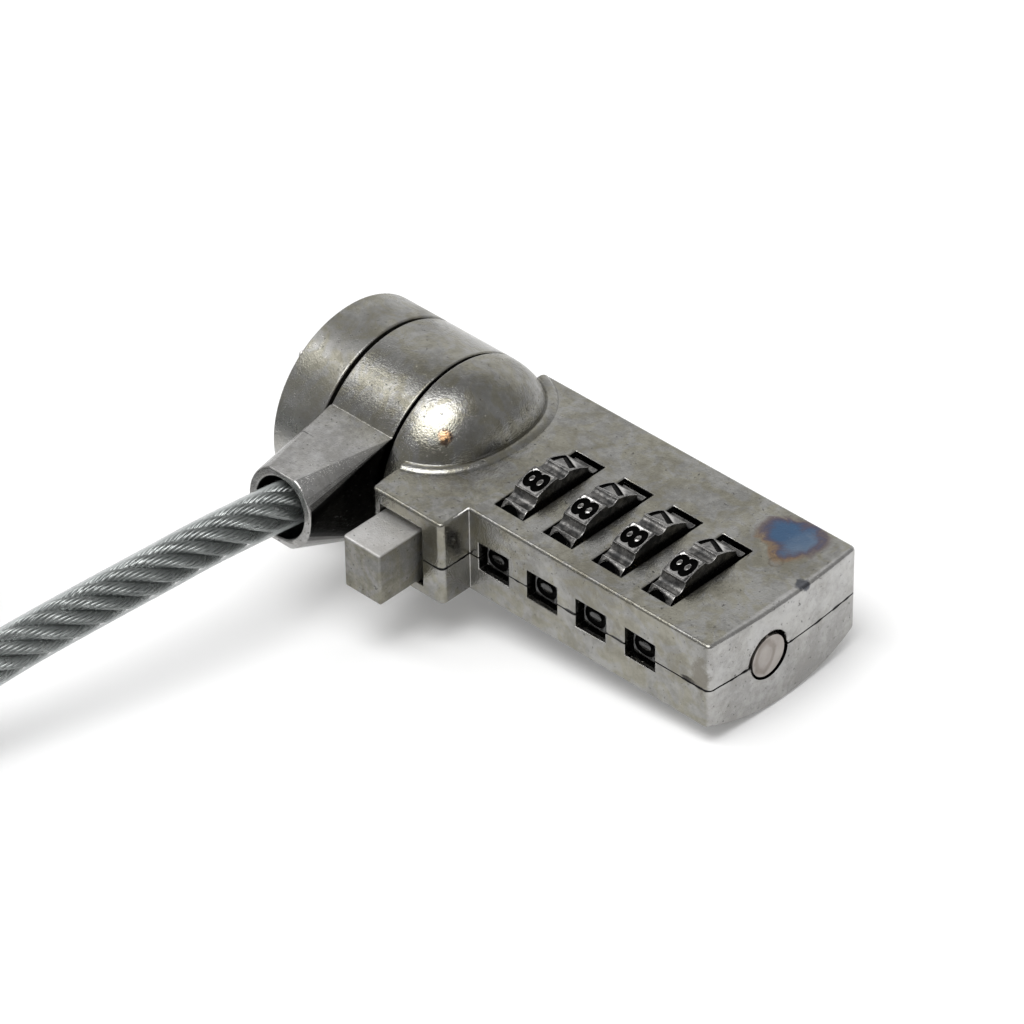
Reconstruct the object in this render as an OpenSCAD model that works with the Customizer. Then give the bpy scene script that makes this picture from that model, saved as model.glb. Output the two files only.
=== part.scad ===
// Laptop cable lock: a four-dial combination lock head with a turning T-bar, a swivelling cable
// collar and a coated steel cable that ends in a crimped eye.
// Lock pieces are drawn in the lock's own axes: X along the case from its left face, Y back from
// its front wall, Z up from its mid-plane. resting() then lays the lock down as it lies on a table.

/* [Case] */
// Length of the case from its left face to the corners of its right end
case_len = 38.1; // [37.5:0.1:40]
// Width of the slim part of the case
case_w = 19.6; // [19:0.1:21]
// Thickness of the case at its edges
case_t = 9.1; // [8.9:0.1:9.6]
// How far the underside bellies out below its edges
belly = 2.0; // [1.8:0.1:2.4]
// How far the right end face bows out
end_bow = 0.45; // [0.3:0.05:0.6]
// Radius of the upright corners
corner_r = 0.6; // [0.4:0.1:0.9]
// Length of the wide step that holds the button
step_len = 8.9; // [8.7:0.1:9.2]
// How far the step stands out from the front wall
step_out = 3.6; // [3.4:0.1:4]
// Thickness of the outer walls
wall = 1.05; // [0.95:0.05:1.15]
// Height of the joint between the shells below mid-plane
parting_drop = 0.5; // [0.4:0.05:0.6]

/* [Nose] */
// Diameter of the nose cap, the collar and the dome
nose_d = 20.6; // [20:0.1:21.2]
// Distance of the nose axis behind the front wall
nose_y = 9.6; // [9.4:0.1:9.8]
// Distance of the nose axis below mid-plane
nose_drop = 0.3; // [0.2:0.05:0.4]
// Thickness of the nose cap
cap_w = 5.5; // [4.8:0.1:5.8]
// Width of the swivel collar
collar_w = 7.8; // [7.6:0.1:8]
// Gap between the collar and the pieces beside it
seam = 0.42; // [0.36:0.02:0.5]
// How far the dome's rim stands out to the left of the case
rim_w = 1.8; // [1.7:0.1:2.2]
// Length of the dome from its rim to its tip
dome_len = 7.2; // [7:0.1:7.6]
// Width of the bead around the foot of the dome
bead_w = 0.5; // [0.3:0.1:0.7]
// Height of the bead above the case
bead_h = 0.25; // [0.15:0.05:0.35]
// Outside diameter of the rubber pad on the nose
pad_d = 18.4; // [17:0.2:19.2]
// Thickness of the rubber pad
pad_t = 1.0; // [0.8:0.1:1.4]
// How deep the pad sits in the cap
pad_seat = 0.9; // [0.7:0.05:0.95]
// Outside diameter of the hollow spindle
spindle_d = 8.0; // [7.6:0.1:8.4]

/* [Cable arm] */
// Distance from the nose axis to the mouth of the socket
arm_reach = 19.0; // [18:0.5:21]
// Angle that the arm is swung up from level
arm_swing = 7; // [0:1:10]
// Angle at the nose axis between the arm's middle and its upper ridge
ridge_angle = 30.5; // [28:0.5:33]
// Outside diameter of the socket's mouth
mouth_d = 8.0; // [7.8:0.1:8.4]
// Depth that the arm's flat top and underside take off the mouth
mouth_flat = 0.35; // [0.2:0.05:0.5]
// Bore of the socket
socket_d = 6.15; // [6:0.05:6.4]
// Depth of the socket to the cable's crimped end
socket_depth = 5.5; // [5:0.5:6]
// Length of the crimped sleeve on the cable's end
crimp_len = 4.5; // [3.5:0.5:5]

/* [Dials] */
// Diameter of a dial over its lands
dial_d = 13.6; // [13.2:0.1:13.7]
// Width of a dial
dial_w = 2.75; // [2.6:0.05:2.9]
// Distance of the dials' axis behind the front wall
dial_y = 7.5; // [7.45:0.05:7.6]
// Distance from the left face to the first dial slot
first_slot = 10.06; // [9.9:0.02:10.2]
// Length kept free behind the dials for the reset pin
reset_room = 4.04; // [3.9:0.02:4.3]
// Width of a dial slot
slot_w = 3.56; // [3.5:0.02:3.7]
// Length of a dial slot
slot_len = 10.74; // [10.6:0.02:11]
// Distance from the left side of a slot to its dial
dial_inset = 0.36; // [0.3:0.02:0.4]
// Radius of the grip grooves between the lands
groove_r = 0.9; // [0.7:0.05:1]
// Depth of the grip grooves
groove_depth = 0.45; // [0.3:0.05:0.6]
// Outside diameter of a clutch sleeve
sleeve_d = 5.9; // [5.8:0.05:6.1]
// Diameter of the fin shaft
shaft_d = 3.2; // [3:0.05:3.3]
// Travel of the fin shaft when the button is pressed
shaft_travel = 0.8; // [0.6:0.05:0.85]

/* [Windows] */
// Width of a front window
window_w = 3.7; // [3.5:0.05:3.9]
// Top of the windows above mid-plane
window_top = 1.3; // [1:0.05:1.5]
// Bottom of the windows below mid-plane
window_drop = 1.8; // [1.6:0.05:2]

/* [Button] */
// Width of the button
button_w = 4.55; // [4.4:0.05:4.6]
// Height of the button
button_h = 5.65; // [5.5:0.05:5.7]
// How far the button stands out of the step
button_out = 4.8; // [4:0.1:5.2]
// Distance from the left face to the button
button_x = 1.2; // [1.15:0.05:1.25]
// Underside of the button below mid-plane
button_drop = 3.45; // [3.4:0.01:3.46]
// Gap to the right of the button
button_gap = 0.7; // [0.5:0.05:0.8]
// Gap above the button
button_top_gap = 0.9; // [0.6:0.05:1]

/* [T-bar] */
// Length of the T-bar's head
tee_len = 6.4; // [6:0.1:6.6]
// Height of the T-bar's head
tee_h = 2.3; // [2.1:0.1:2.6]
// Thickness of the T-bar's head
tee_t = 1.6; // [1.4:0.1:1.8]
// Diameter of the T-bar's neck
neck_d = 2.4; // [2.2:0.1:2.6]
// Gap between the pad and the T-bar's head, which takes the laptop's wall
grip_gap = 1.2; // [1.1:0.1:1.5]
// Diameter of the T-bar's shaft
tee_shaft_d = 3.4; // [3.2:0.05:3.5]
// Module of the rack and pinion
gear_module = 0.5; // [0.5]

/* [Reset pin] */
// Diameter of the pin's face in the end wall
pin_d = 4.2; // [4:0.1:4.3]
// Diameter of the hole in the end wall
pin_hole_d = 4.8; // [4.6:0.1:5]
// Travel of the reset pin
pin_travel = 1.0; // [0.8:0.1:1]

/* [Cable] */
// Diameter of the cable over its jacket
cable_d = 4.45; // [4.4:0.05:4.5]
// Gap between neighbouring turns of the coil
turn_gap = 0.45; // [0.45:0.01:0.5]
// Diameter of the coil at the middle of its turns, in cable diameters
coil_ratio = 12; // [11.5:0.1:12]
// Thickness of the tie around the coil
tie_t = 0.6; // [0.5:0.1:0.8]
// Width of the tie
tie_w = 6; // [4:0.5:8]
// Diameter of each barrel of the eye's ferrule
ferrule_d = 6.0; // [5.8:0.1:6.2]
// Length of the eye's ferrule
ferrule_len = 12; // [10:0.5:13]
// Length of the eye beyond its ferrule
eye_len = 32; // [30:1:33]
// Width of the eye over the cable's middle
eye_w = 20; // [18:1:21]

/* [Hidden] */

// Fineness of round faces, and of round faces inside a hull
$fn = 64;
hull_fn = 40;
// Drawn past a face that a cut goes through
past = 1;
// Running clearance of shafts and sleeves, on the radius
running = 0.06;
// Clearance of flat faces that slide, and of seated pieces
slide_gap = 0.1;
seat_gap = 0.02;
// The dials share the length between the step and the reset pin
dial_count = 4;
dial_pitch = (case_len - first_slot - reset_room) / dial_count;

// Lock heights
half_t = case_t / 2;
parting_z = -parting_drop;
nose_z = -nose_drop;
dial_z = parting_z;

// Places along X, leftwards from the case
nose_r = nose_d / 2;
rim_x = -rim_w;
collar_x = rim_x - seam - collar_w;
cap_x = collar_x - seam - cap_w;
pad_x = cap_x + pad_seat - pad_t;
tee_x = pad_x - grip_gap - tee_t;
arm_x = collar_x + collar_w / 2;
spindle_r = spindle_d / 2;
flange_x = rim_x + 0.8;
flange_t = 1.4;
flange_r = 5.6;

// Dials and the shaft line
dial_r = dial_d / 2;
pocket_r = dial_r + 0.3;
land_count = 10;
land_angle = 105;
sleeve_r = sleeve_d / 2;
sleeve_x = first_slot - 0.61;
sleeve_gap = 0.4;
sleeve_len = dial_pitch - sleeve_gap;
sleeve_flange = 1.0;
sleeve_bore_r = shaft_d / 2 + running + 0.02;
fin_r = 2.45;
fin_w = 1.0;
fin_len = 1.2;
fin_x = sleeve_x + 1.6;
recess_r = fin_r + 0.12;
key_w = 0.8;
key_h = 0.5;
tunnel_r = sleeve_r + running;
tunnel_end = sleeve_x + dial_count * dial_pitch - 0.25;
shaft_end = tunnel_end - 0.2;

// Mechanism bay behind the step
bay_x = wall;
bay_end = step_len - 0.95;
bay_front = wall - step_out;
bay_back = case_w - 4.1;
bay_floor = -half_t + wall;
bay_roof = half_t - wall - 0.1;
flange_plate_t = 1.0;
button_front = -step_out - button_out;
plate_front = bay_front + slide_gap;
plate_back = plate_front + flange_plate_t;
plate_end = bay_end - 0.4;
plate_top = bay_roof - slide_gap - 0.1;

// Rack and pinion: a quarter turn moves the rack by two teeth
pinion_teeth = 8;
pressure_angle = 30;
pinion_r = gear_module * pinion_teeth / 2;
button_travel = PI * pinion_r / 2;
rack_pitch = PI * gear_module;
backlash = 0.07;
addendum = 0.84 * gear_module;
dedendum = 1.1 * gear_module;
pinion_x = 1.5;
pinion_w = 3.3;
journal_r = 0.9;
journal_flat = 0.6;
rack_x = button_x + 0.2;
rack_w = 3.5;
rack_line = nose_z - pinion_r;
rack_end = nose_y + 2.7;
rack_teeth_before = 4;
rack_teeth_after = 2;
rack_floor = bay_floor + 0.1;

// Ramp between the button and the fin shaft
ramp_slope = shaft_travel / button_travel;
ramp_x = 6.4;
ramp_left = rack_x + rack_w + 0.3;
ramp_right = plate_end - 0.2;
ramp_tip = dial_y + 1.8;
ramp_half_h = 1.2;
seat_x = 7.0;
seat_r = 2.3;
seat_t = 0.5;

// Reset pin and its chamber in the right end
chamber_x = tunnel_end + 0.7;
chamber_end = case_len - 1.3;
chamber_r = 3.08;
pin_face = case_len + end_bow - 0.03;
pin_flange_t = 0.7;
pin_flange_r = chamber_r - running;
stem_r = 1.3;
stem_x = shaft_end + shaft_travel + pin_travel + 0.2;

// Wire springs
wire_d = 0.35;
wire_sides = 6;
curl_rings = 8;

// Screws
screw_places = [[case_len - 3.2, case_w - 3], [case_len - 3.2, 2.4], [4.5, case_w - 2]];
screw_head_r = 1.4;
screw_head_t = 0.7;
screw_r = 0.8;
screw_seat = -half_t + 0.1;
screw_top = half_t - 1.2;

// Lie of the lock: the dome and the belly's far end touch the table
dome_major = nose_r - dome_len;
dome_low = nose_z - dome_major;
belly_end_x = case_len + end_bow - 0.05;
belly_z = -half_t - belly;
lie_dx = belly_end_x - rim_x;
lie_dz = belly_z - dome_low;
lie_angle = atan2(lie_dz, lie_dx) - acos(dome_len / norm([lie_dx, lie_dz])) + 90;
lie_lift = dome_len + rim_x * sin(lie_angle) - dome_low * cos(lie_angle);

// The origin is under the middle of the lock as it lies
right_edge = (case_len + end_bow) * cos(lie_angle) + half_t * sin(lie_angle);
left_edge = tee_x * cos(lie_angle) + (nose_z - tee_h / 2) * sin(lie_angle);
back_edge = nose_y + nose_r;
front_edge = nose_y - arm_reach * cos(arm_swing) - mouth_d / 2 * sin(arm_swing);
origin_x = (right_edge + left_edge) / 2;
origin_y = (back_edge + front_edge) / 2;

module resting() {
    translate([-origin_x, -origin_y, lie_lift]) rotate([0, lie_angle, 0]) children();
}

// The same place as resting() gives, for one point of the lock
function laid(p) = [
    p[0] * cos(lie_angle) + p[2] * sin(lie_angle) - origin_x,
    p[1] - origin_y,
    p[2] * cos(lie_angle) - p[0] * sin(lie_angle) + lie_lift];

// A point at a distance along the swung arm from the nose axis
function on_arm(reach) = laid([arm_x, nose_y - reach * cos(arm_swing),
    nose_z + reach * sin(arm_swing)]);

// Cable route, on the table: by hand from the socket's mouth down to the coil
cable_r = cable_d / 2;
cable_sides = 10;
seat_reach = arm_reach - socket_depth;
lead_route = [[-15.9, -11.5, 12.7], [-16.1, -14.5, 13.0], [-16.6, -18.5, 13.1], [-17.2, -23, 13.1],
    [-17.8, -27.5, 12.9], [-18.7, -32, 12.5], [-19.8, -36.5, 11.9], [-21.2, -41, 11.0],
    [-22.7, -45.5, 9.8], [-24.4, -50, 8.3], [-26.2, -54.5, 6.7], [-28.2, -59, 5.1],
    [-30.1, -63, 3.9]];
coil_x = -66;
coil_y = -58;
coil_start = -24;
coil_end = 0;
coil_loops = 6;
coil_layers = 2;
loop_rings = 24;
turn_pitch = cable_d + turn_gap;
coil_sweep = 360 * coil_loops + coil_start - coil_end;
layer_sweep = coil_sweep / coil_layers;
coil_mid_r = coil_ratio * cable_d / 2;
coil_out_r = coil_mid_r + turn_pitch * layer_sweep / 720;
lay_z = tie_t + 0.05 + cable_r;

// Cable beyond the coil, up onto its turns and through the ferrule
top_z = lay_z + turn_pitch + cable_r + ferrule_d / 2 + 0.05;
barrel_gap = 4.8;
ferrule_x = -48;
ferrule_y = -79.2;
ferrule_bore_r = cable_r + 0.05;
tail_route = [[-32.2, -66.5, 8.1], [-33.6, -70.5, 9.1], [-36.2, -74, 10.4], [-39.8, -76.8, 11.9],
    [-43.7, -78.6, 12.7]];
eye_rings = 36;
eye_sides = 8;
fold_len = ferrule_len - 1;
tail_len = ferrule_len - 0.3;
tie_angle = 110;
tie_slack = 0.4;

// Vectors for sweeping tubes
function unit(v) = v / norm(v);
function tube_tangent(path, i) =
    unit(path[min(i + 1, len(path) - 1)] - path[max(i - 1, 0)]);
function tube_ring(centre, tangent, up, r, sides) =
    let (side = unit(cross(up, tangent)), rise = cross(tangent, side))
    [for (k = [0 : sides - 1])
        centre + r * (cos(360 * k / sides) * side + sin(360 * k / sides) * rise)];

// One unbroken tube along a path, with its two ends closed
module tube(path, r, sides, up = [0, 0, 1]) {
    rings = len(path);
    points = [for (i = [0 : rings - 1])
        each tube_ring(path[i], tube_tangent(path, i), up, r, sides)];
    walls = [for (i = [0 : rings - 2], k = [0 : sides - 1])
        let (a = i * sides + k, b = i * sides + (k + 1) % sides)
        each [[a, b + sides, b], [a, a + sides, b + sides]]];
    first = [for (k = [1 : sides - 2]) [0, k, k + 1]];
    end = (rings - 1) * sides;
    last = [for (k = [1 : sides - 2]) [end, end + k + 1, end + k]];
    polyhedron(points = points, faces = concat(walls, first, last));
}

// Least clear gap between turns of a path, measured on its points
function tube_gap(path, r, apart) = min([for (i = [0 : len(path) - 1])
    for (j = [i + apart : 1 : len(path) - 1]) norm(path[i] - path[j])]) - 2 * r;

// A range about a middle
function around(middle, half) = [middle - half, middle + half];

// Shapes that lie along the lock's X axis
module rod(x, length, y, z, r) {
    translate([x, y, z]) rotate([0, 90, 0]) cylinder(h = length, r = r);
}
module along_x(x, length, y, z) {
    translate([x, y, z]) rotate([90, 0, 90]) linear_extrude(length) children();
}
module block(x, y, z) {
    translate([x[0], y[0], z[0]]) cube([x[1] - x[0], y[1] - y[0], z[1] - z[0]]);
}
module above(z) {
    block([cap_x, case_len + nose_r], [-nose_r, case_w + nose_r], [z, z + nose_d]);
}
module below(z) {
    block([cap_x, case_len + nose_r], [-nose_r, case_w + nose_r], [z - nose_d, z]);
}

// Case outline from above, with round corners and a bowed right end
module round_rect(x, y, r) {
    translate([x[0] + r, y[0]]) square([x[1] - x[0] - 2 * r, y[1] - y[0]]);
    translate([x[0], y[0] + r]) square([x[1] - x[0], y[1] - y[0] - 2 * r]);
    for (cx = [x[0] + r, x[1] - r], cy = [y[0] + r, y[1] - r]) translate([cx, cy]) circle(r = r);
}
module slim_outline() {
    bowed_half = case_w / 2 - corner_r;
    bow_r = (bowed_half * bowed_half + end_bow * end_bow) / (2 * end_bow);
    round_rect([0, case_len], [0, case_w], corner_r);
    intersection() {
        translate([case_len - past, corner_r]) square([2 * past, 2 * bowed_half]);
        translate([case_len + end_bow - bow_r, case_w / 2]) circle(r = bow_r, $fn = 256);
    }
}
module step_outline() {
    round_rect([0, step_len], [-step_out, case_w / 2], corner_r);
}

// The dome is round in section, with its rim to the left of the case
module dome(grow = 0) {
    translate([rim_x, nose_y, nose_z]) rotate([0, 90, 0]) rotate_extrude() {
        square([dome_major + 0.01, dome_len + grow]);
        intersection() {
            translate([dome_major, 0]) circle(r = dome_len + grow);
            square([nose_r + grow, dome_len + grow]);
        }
    }
}

// What both shells make room for
module dial_rooms() {
    for (k = [0 : dial_count - 1]) {
        x = first_slot + k * dial_pitch;
        block([x, x + slot_w], around(dial_y, slot_len / 2), [-nose_r, nose_r]);
        rod(x, slot_w, dial_y, dial_z, pocket_r);
        block(around(x + slot_w / 2, window_w / 2), [-past, dial_y - sleeve_r],
            [-window_drop, window_top]);
    }
    rod(bay_end - past, tunnel_end - bay_end + past, dial_y, dial_z, tunnel_r);
    block([first_slot - 0.6, tunnel_end - 1], [dial_y + dial_r - 0.1, case_w - wall],
        [bay_floor, bay_roof]);
}
module pin_rooms() {
    rod(tunnel_end - past, chamber_x - tunnel_end + 2 * past, dial_y, dial_z,
        shaft_d / 2 + running + 0.05);
    rod(chamber_x, chamber_end - chamber_x, dial_y, dial_z, chamber_r);
    rod(chamber_end - past, case_len, dial_y, dial_z, pin_hole_d / 2);
}
module button_rooms() {
    difference() {
        block([bay_x, bay_end], [bay_front, bay_back], [bay_floor, bay_roof]);
        spring_seat();
    }
    block([button_x - 0.15, button_x + button_w + button_gap], [-step_out - past, bay_front + past],
        [-button_drop - slide_gap, button_h - button_drop + button_top_gap]);
}
module spring_seat() {
    block([bay_end - 2, bay_end + past], [4.6, 5.4], [1.2, bay_roof + past]);
}
module spindle_rooms() {
    rod(rim_x - past, flange_x - rim_x + 2 * past, nose_y, nose_z, spindle_r + seat_gap);
    translate([flange_x, nose_y, nose_z]) rotate([0, 90, 0])
        cylinder(h = flange_t + 0.05, r = flange_r + 0.05, $fn = 6);
    rod(flange_x, bay_x + past - flange_x, nose_y, nose_z, pinion_r + gear_module + 0.1);
}
module screw_rooms() {
    for (p = screw_places) translate([p[0], p[1], 0]) {
        translate([0, 0, screw_seat - nose_r]) cylinder(h = nose_r, r = screw_head_r + 0.1);
        translate([0, 0, screw_seat - past]) cylinder(h = screw_top + 0.1 - screw_seat + past,
            r = screw_r + seat_gap);
    }
}
module case_rooms() {
    dial_rooms();
    pin_rooms();
    button_rooms();
    spindle_rooms();
    screw_rooms();
}

module upper_shell() {
    color("#8d8c86") resting() difference() {
        union() {
            translate([0, 0, parting_z]) linear_extrude(half_t - parting_z) slim_outline();
            translate([0, 0, parting_z]) linear_extrude(half_t - parting_z) step_outline();
            intersection() {
                dome();
                above(parting_z);
            }
            intersection() {
                dome(bead_w);
                block([0, step_len], [0, case_w], [half_t - 0.5, half_t + bead_h]);
            }
        }
        case_rooms();
    }
}

module lower_shell() {
    belly_r = (case_w * case_w / 4 + belly * belly) / (2 * belly);
    color("#7f7e79") resting() difference() {
        union() {
            intersection() {
                translate([0, 0, belly_z]) linear_extrude(parting_z - belly_z) slim_outline();
                rod(-past, case_len + 3 * past, case_w / 2, belly_z + belly_r, belly_r, $fn = 256);
            }
            translate([0, 0, -half_t]) linear_extrude(parting_z + half_t) step_outline();
            intersection() {
                dome();
                below(parting_z);
            }
        }
        case_rooms();
    }
}

module nose_cap() {
    edge = 0.2;
    color("#8b8a84") resting() difference() {
        translate([cap_x, nose_y, nose_z]) rotate([0, 90, 0]) rotate_extrude()
            polygon([[0, 0], [nose_r - edge, 0], [nose_r, edge], [nose_r, cap_w], [0, cap_w]]);
        rod(cap_x - past, cap_w + 2 * past, nose_y, nose_z, spindle_r + seat_gap);
        difference() {
            rod(cap_x - past, pad_seat + past, nose_y, nose_z, pad_d / 2 + seat_gap);
            rod(cap_x - past, pad_seat + past, nose_y, nose_z, spindle_r + 1 - seat_gap);
        }
        cap_pin_shape(seat_gap, past);
    }
}

module nose_pad() {
    color("#c9c6bd") resting() difference() {
        rod(pad_x, pad_t, nose_y, nose_z, pad_d / 2);
        rod(pad_x - past, pad_t + 2 * past, nose_y, nose_z, spindle_r + 1);
    }
}

// Roll pin that holds the cap on the spindle, from below
module cap_pin_shape(grow, longer) {
    translate([cap_x + cap_w / 2, nose_y, nose_z - nose_r + 0.15 - longer])
        cylinder(h = nose_r - 0.15 - 2.6 + longer, r = screw_r + grow);
}
module cap_pin() {
    color("#5b5a57") resting() cap_pin_shape(0, 0);
}

// Hollow spindle, with its hexagonal flange held in the dome and two lugs for the slot's ends
module spindle() {
    lug_w = 1.0;
    color("#9a9993") resting() difference() {
        union() {
            rod(cap_x, flange_x - cap_x + 0.1, nose_y, nose_z, spindle_r);
            translate([flange_x, nose_y, nose_z]) rotate([0, 90, 0])
                cylinder(h = flange_t, r = flange_r, $fn = 6);
            for (s = [-1, 1]) block([pad_x - grip_gap + 0.2, cap_x + 0.1], around(nose_y, lug_w),
                around(nose_z + s * (tee_len - lug_w) / 2, lug_w / 2));
        }
        rod(tee_x, flange_x - tee_x + 2 * flange_t, nose_y, nose_z, tee_shaft_d / 2 + running);
        cap_pin_shape(seat_gap, past);
    }
}

module washer(x) {
    difference() {
        rod(x + 0.05, seam - 0.1, nose_y, nose_z, nose_r - 3);
        rod(x - past, seam + 2 * past, nose_y, nose_z, spindle_r + seat_gap);
    }
}
module front_washer() {
    color("#3a3a39") resting() washer(collar_x - seam);
}
module rear_washer() {
    color("#3a3a39") resting() washer(rim_x - seam);
}

// Pieces of the arm are drawn with the arm along -Y from the nose axis
module at_arm() {
    resting() translate([arm_x, nose_y, nose_z]) rotate([-arm_swing, 0, 0]) children();
}
// Seen along the nose axis, the arm narrows in straight lines from its ridges to its mouth
module arm_side(ridge_y, ridge_h) {
    flat_h = mouth_d / 2 - mouth_flat;
    run_out = past * (ridge_h - flat_h) / (arm_reach - ridge_y);
    polygon([[0, ridge_h], [-ridge_y, ridge_h], [-arm_reach - past, flat_h - run_out],
        [-arm_reach - past, run_out - flat_h], [-ridge_y, -ridge_h], [0, -ridge_h]]);
}
module swivel_collar() {
    ridge_y = nose_r * cos(ridge_angle);
    ridge_h = nose_r * sin(ridge_angle);
    color("#94938c") difference() {
        at_arm() union() {
            rod(-collar_w / 2, collar_w, 0, 0, nose_r);
            intersection() {
                hull() {
                    block([-collar_w / 2, collar_w / 2], [-ridge_y, 0.5 - ridge_y],
                        [-ridge_h, ridge_h]);
                    translate([0, 0.6 - arm_reach, 0]) rotate([90, 0, 0])
                        cylinder(h = 0.6, r = mouth_d / 2, $fn = hull_fn);
                }
                along_x(-nose_r, nose_d, 0, 0) arm_side(ridge_y, ridge_h);
            }
        }
        resting() rod(collar_x - past, collar_w + 2 * past, nose_y, nose_z, spindle_r + running);
        at_arm() translate([0, crimp_len - seat_reach + 0.1, 0]) rotate([90, 0, 0])
            cylinder(h = arm_reach, r = socket_d / 2);
    }
}
module cable_crimp() {
    color("#a8a7a0") at_arm() translate([0, crimp_len - seat_reach, 0]) rotate([90, 0, 0])
        cylinder(h = crimp_len, r = socket_d / 2 - seat_gap);
}

// Coil: in along the table, up in half a turn as it reverses, and out again on top
function coil_radius(s) = coil_out_r - turn_pitch / 360 * min(s, coil_sweep - s);
function coil_height(s) = lay_z + turn_pitch
    * min(max((s - layer_sweep) / 180 + 0.5, 0), 1);
function coil_point(s) = [coil_x + coil_radius(s) * cos(coil_start - s),
    coil_y + coil_radius(s) * sin(coil_start - s), coil_height(s)];
coil_rings = round(coil_sweep / 360 * loop_rings);
coil_in = coil_point(0);
coil_out = coil_point(coil_sweep);
in_way = [sin(coil_start), -cos(coil_start), 0];
out_way = [sin(coil_end), -cos(coil_end), 0];
coil_path = concat([coil_in - cable_d * in_way],
    [for (i = [0 : coil_rings]) coil_point(i * coil_sweep / coil_rings)],
    [coil_out + cable_d * out_way]);
echo("least gap between the coil's turns, mm", tube_gap(coil_path, cable_r, loop_rings / 2));

module cable() {
    color("#7d8080") tube(concat([on_arm(seat_reach), on_arm(seat_reach + 1)], lead_route,
        [coil_path[0] - 0.5 * in_way, coil_path[0]]), cable_r, cable_sides);
}
module cable_coil() {
    color("#7d8080") tube(coil_path, cable_r, wire_sides);
}

// The ferrule lies flat on the coil, with the eye running on from it to the left
ferrule_in = [ferrule_x, ferrule_y + barrel_gap / 2, top_z];
module cable_tail() {
    start = coil_path[len(coil_path) - 1];
    color("#7d8080") tube(concat([start, start + 0.5 * out_way], tail_route,
        [ferrule_in, ferrule_in - [ferrule_len / 2, 0, 0], ferrule_in - [tail_len, 0, 0]]),
        cable_r, eye_sides);
}
module eye_ferrule() {
    color("#b2b1ab") difference() {
        translate([ferrule_x, ferrule_y, top_z]) rotate([90, 0, -90]) linear_extrude(ferrule_len) {
            for (s = [-1, 1]) translate([s * barrel_gap / 2, 0]) circle(r = ferrule_d / 2);
            square([barrel_gap, ferrule_d], center = true);
        }
        for (s = [-1, 1]) rod(ferrule_x - ferrule_len - past, ferrule_len + 2 * past,
            ferrule_y + s * barrel_gap / 2, top_z, ferrule_bore_r);
    }
}
function eye_point(t) = [
    ferrule_x - ferrule_len - eye_len * (1 - cos(t)) / 2,
    ferrule_y + barrel_gap / 2 * cos(t / 2) + eye_w / 1.3 * sin(t) * pow(sin(t / 2), 2),
    top_z - 0.7 * pow(sin(t / 2), 2)];
eye_path = concat(
    [for (i = [0 : eye_rings]) eye_point(360 * (0.02 + 0.98 * i / eye_rings))],
    [[ferrule_x - ferrule_len + fold_len / 2, ferrule_y - barrel_gap / 2, top_z],
     [ferrule_x - ferrule_len + fold_len, ferrule_y - barrel_gap / 2, top_z]]);
module cable_eye() {
    color("#7d8080") tube(concat([eye_point(0)], eye_path), cable_r, eye_sides);
}

// Strap around the bundle of turns
module coil_tie() {
    inside = [turn_pitch * layer_sweep / 360 + cable_d + 2 * tie_slack,
        turn_pitch + cable_d + tie_slack];
    color("#2f2f30") translate([coil_x, coil_y, 0]) rotate([0, 0, tie_angle])
        translate([coil_mid_r, tie_w / 2, tie_t + inside[1] / 2]) rotate([90, 0, 0])
        linear_extrude(tie_w) difference() {
            square(inside + 2 * [tie_t, tie_t], center = true);
            square(inside, center = true);
        }
}

// Straight-sided rack tooth about its pitch line
module rack_tooth() {
    half = rack_pitch / 4 - backlash / 2;
    lean = tan(pressure_angle);
    polygon([[-half - dedendum * lean, -dedendum], [half + dedendum * lean, -dedendum],
        [half - addendum * lean, addendum], [-half + addendum * lean, addendum]]);
}
module push_button() {
    rack_root = rack_line - dedendum;
    ramp_start = dial_y - (ramp_right - ramp_x) / ramp_slope;
    tip_x = ramp_x - ramp_slope * (ramp_tip - dial_y);
    color("#75746f") resting() {
        block([button_x, button_x + button_w], [button_front, plate_back - 0.1],
            [-button_drop, button_h - button_drop]);
        block([button_x, plate_end], [plate_front, plate_back], [rack_floor, plate_top]);
        block([rack_x, rack_x + rack_w], [plate_front, rack_end], [rack_floor, rack_root + 0.01]);
        intersection() {
            along_x(rack_x, rack_w, nose_y, rack_line)
                for (k = [-rack_teeth_before : rack_teeth_after - 1])
                    translate([(k + 0.5) * rack_pitch, 0]) rack_tooth();
            block([rack_x, rack_x + rack_w], [plate_front, rack_end], [rack_floor, nose_z]);
        }
        translate([0, 0, dial_z - ramp_half_h]) linear_extrude(2 * ramp_half_h)
            polygon([[ramp_left, plate_front], [ramp_right, plate_front], [ramp_right, ramp_start],
                [tip_x, ramp_tip], [ramp_left, ramp_tip]]);
    }
}

// Wire spring that stands along Z from its first end
module wire_spring(length, r, curls) {
    steps = curls * curl_rings;
    path = [for (i = [0 : steps]) [r * cos(360 * i / curl_rings), r * sin(360 * i / curl_rings),
        wire_d / 2 + (length - wire_d) * i / steps]];
    tube(path, wire_d / 2, wire_sides);
}
module button_spring() {
    from_y = plate_back + 0.05;
    color("#9c9c98") resting() translate([bay_end - 1.2, from_y, plate_top - 1.15])
        rotate([-90, 0, 0]) wire_spring(4.55 - from_y, 0.8, 7);
}
module shaft_spring() {
    from_x = seat_x + seat_t + 0.05;
    color("#9c9c98") resting() translate([from_x, dial_y, dial_z]) rotate([0, 90, 0])
        wire_spring(sleeve_x - 0.1 - from_x, 2.05, 3);
}
module reset_spring() {
    from_x = chamber_x + 0.05;
    color("#9c9c98") resting() translate([from_x, dial_y, dial_z]) rotate([0, 90, 0])
        wire_spring(chamber_end - slide_gap - pin_flange_t - 0.05 - from_x, 2.2, 3);
}

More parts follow.
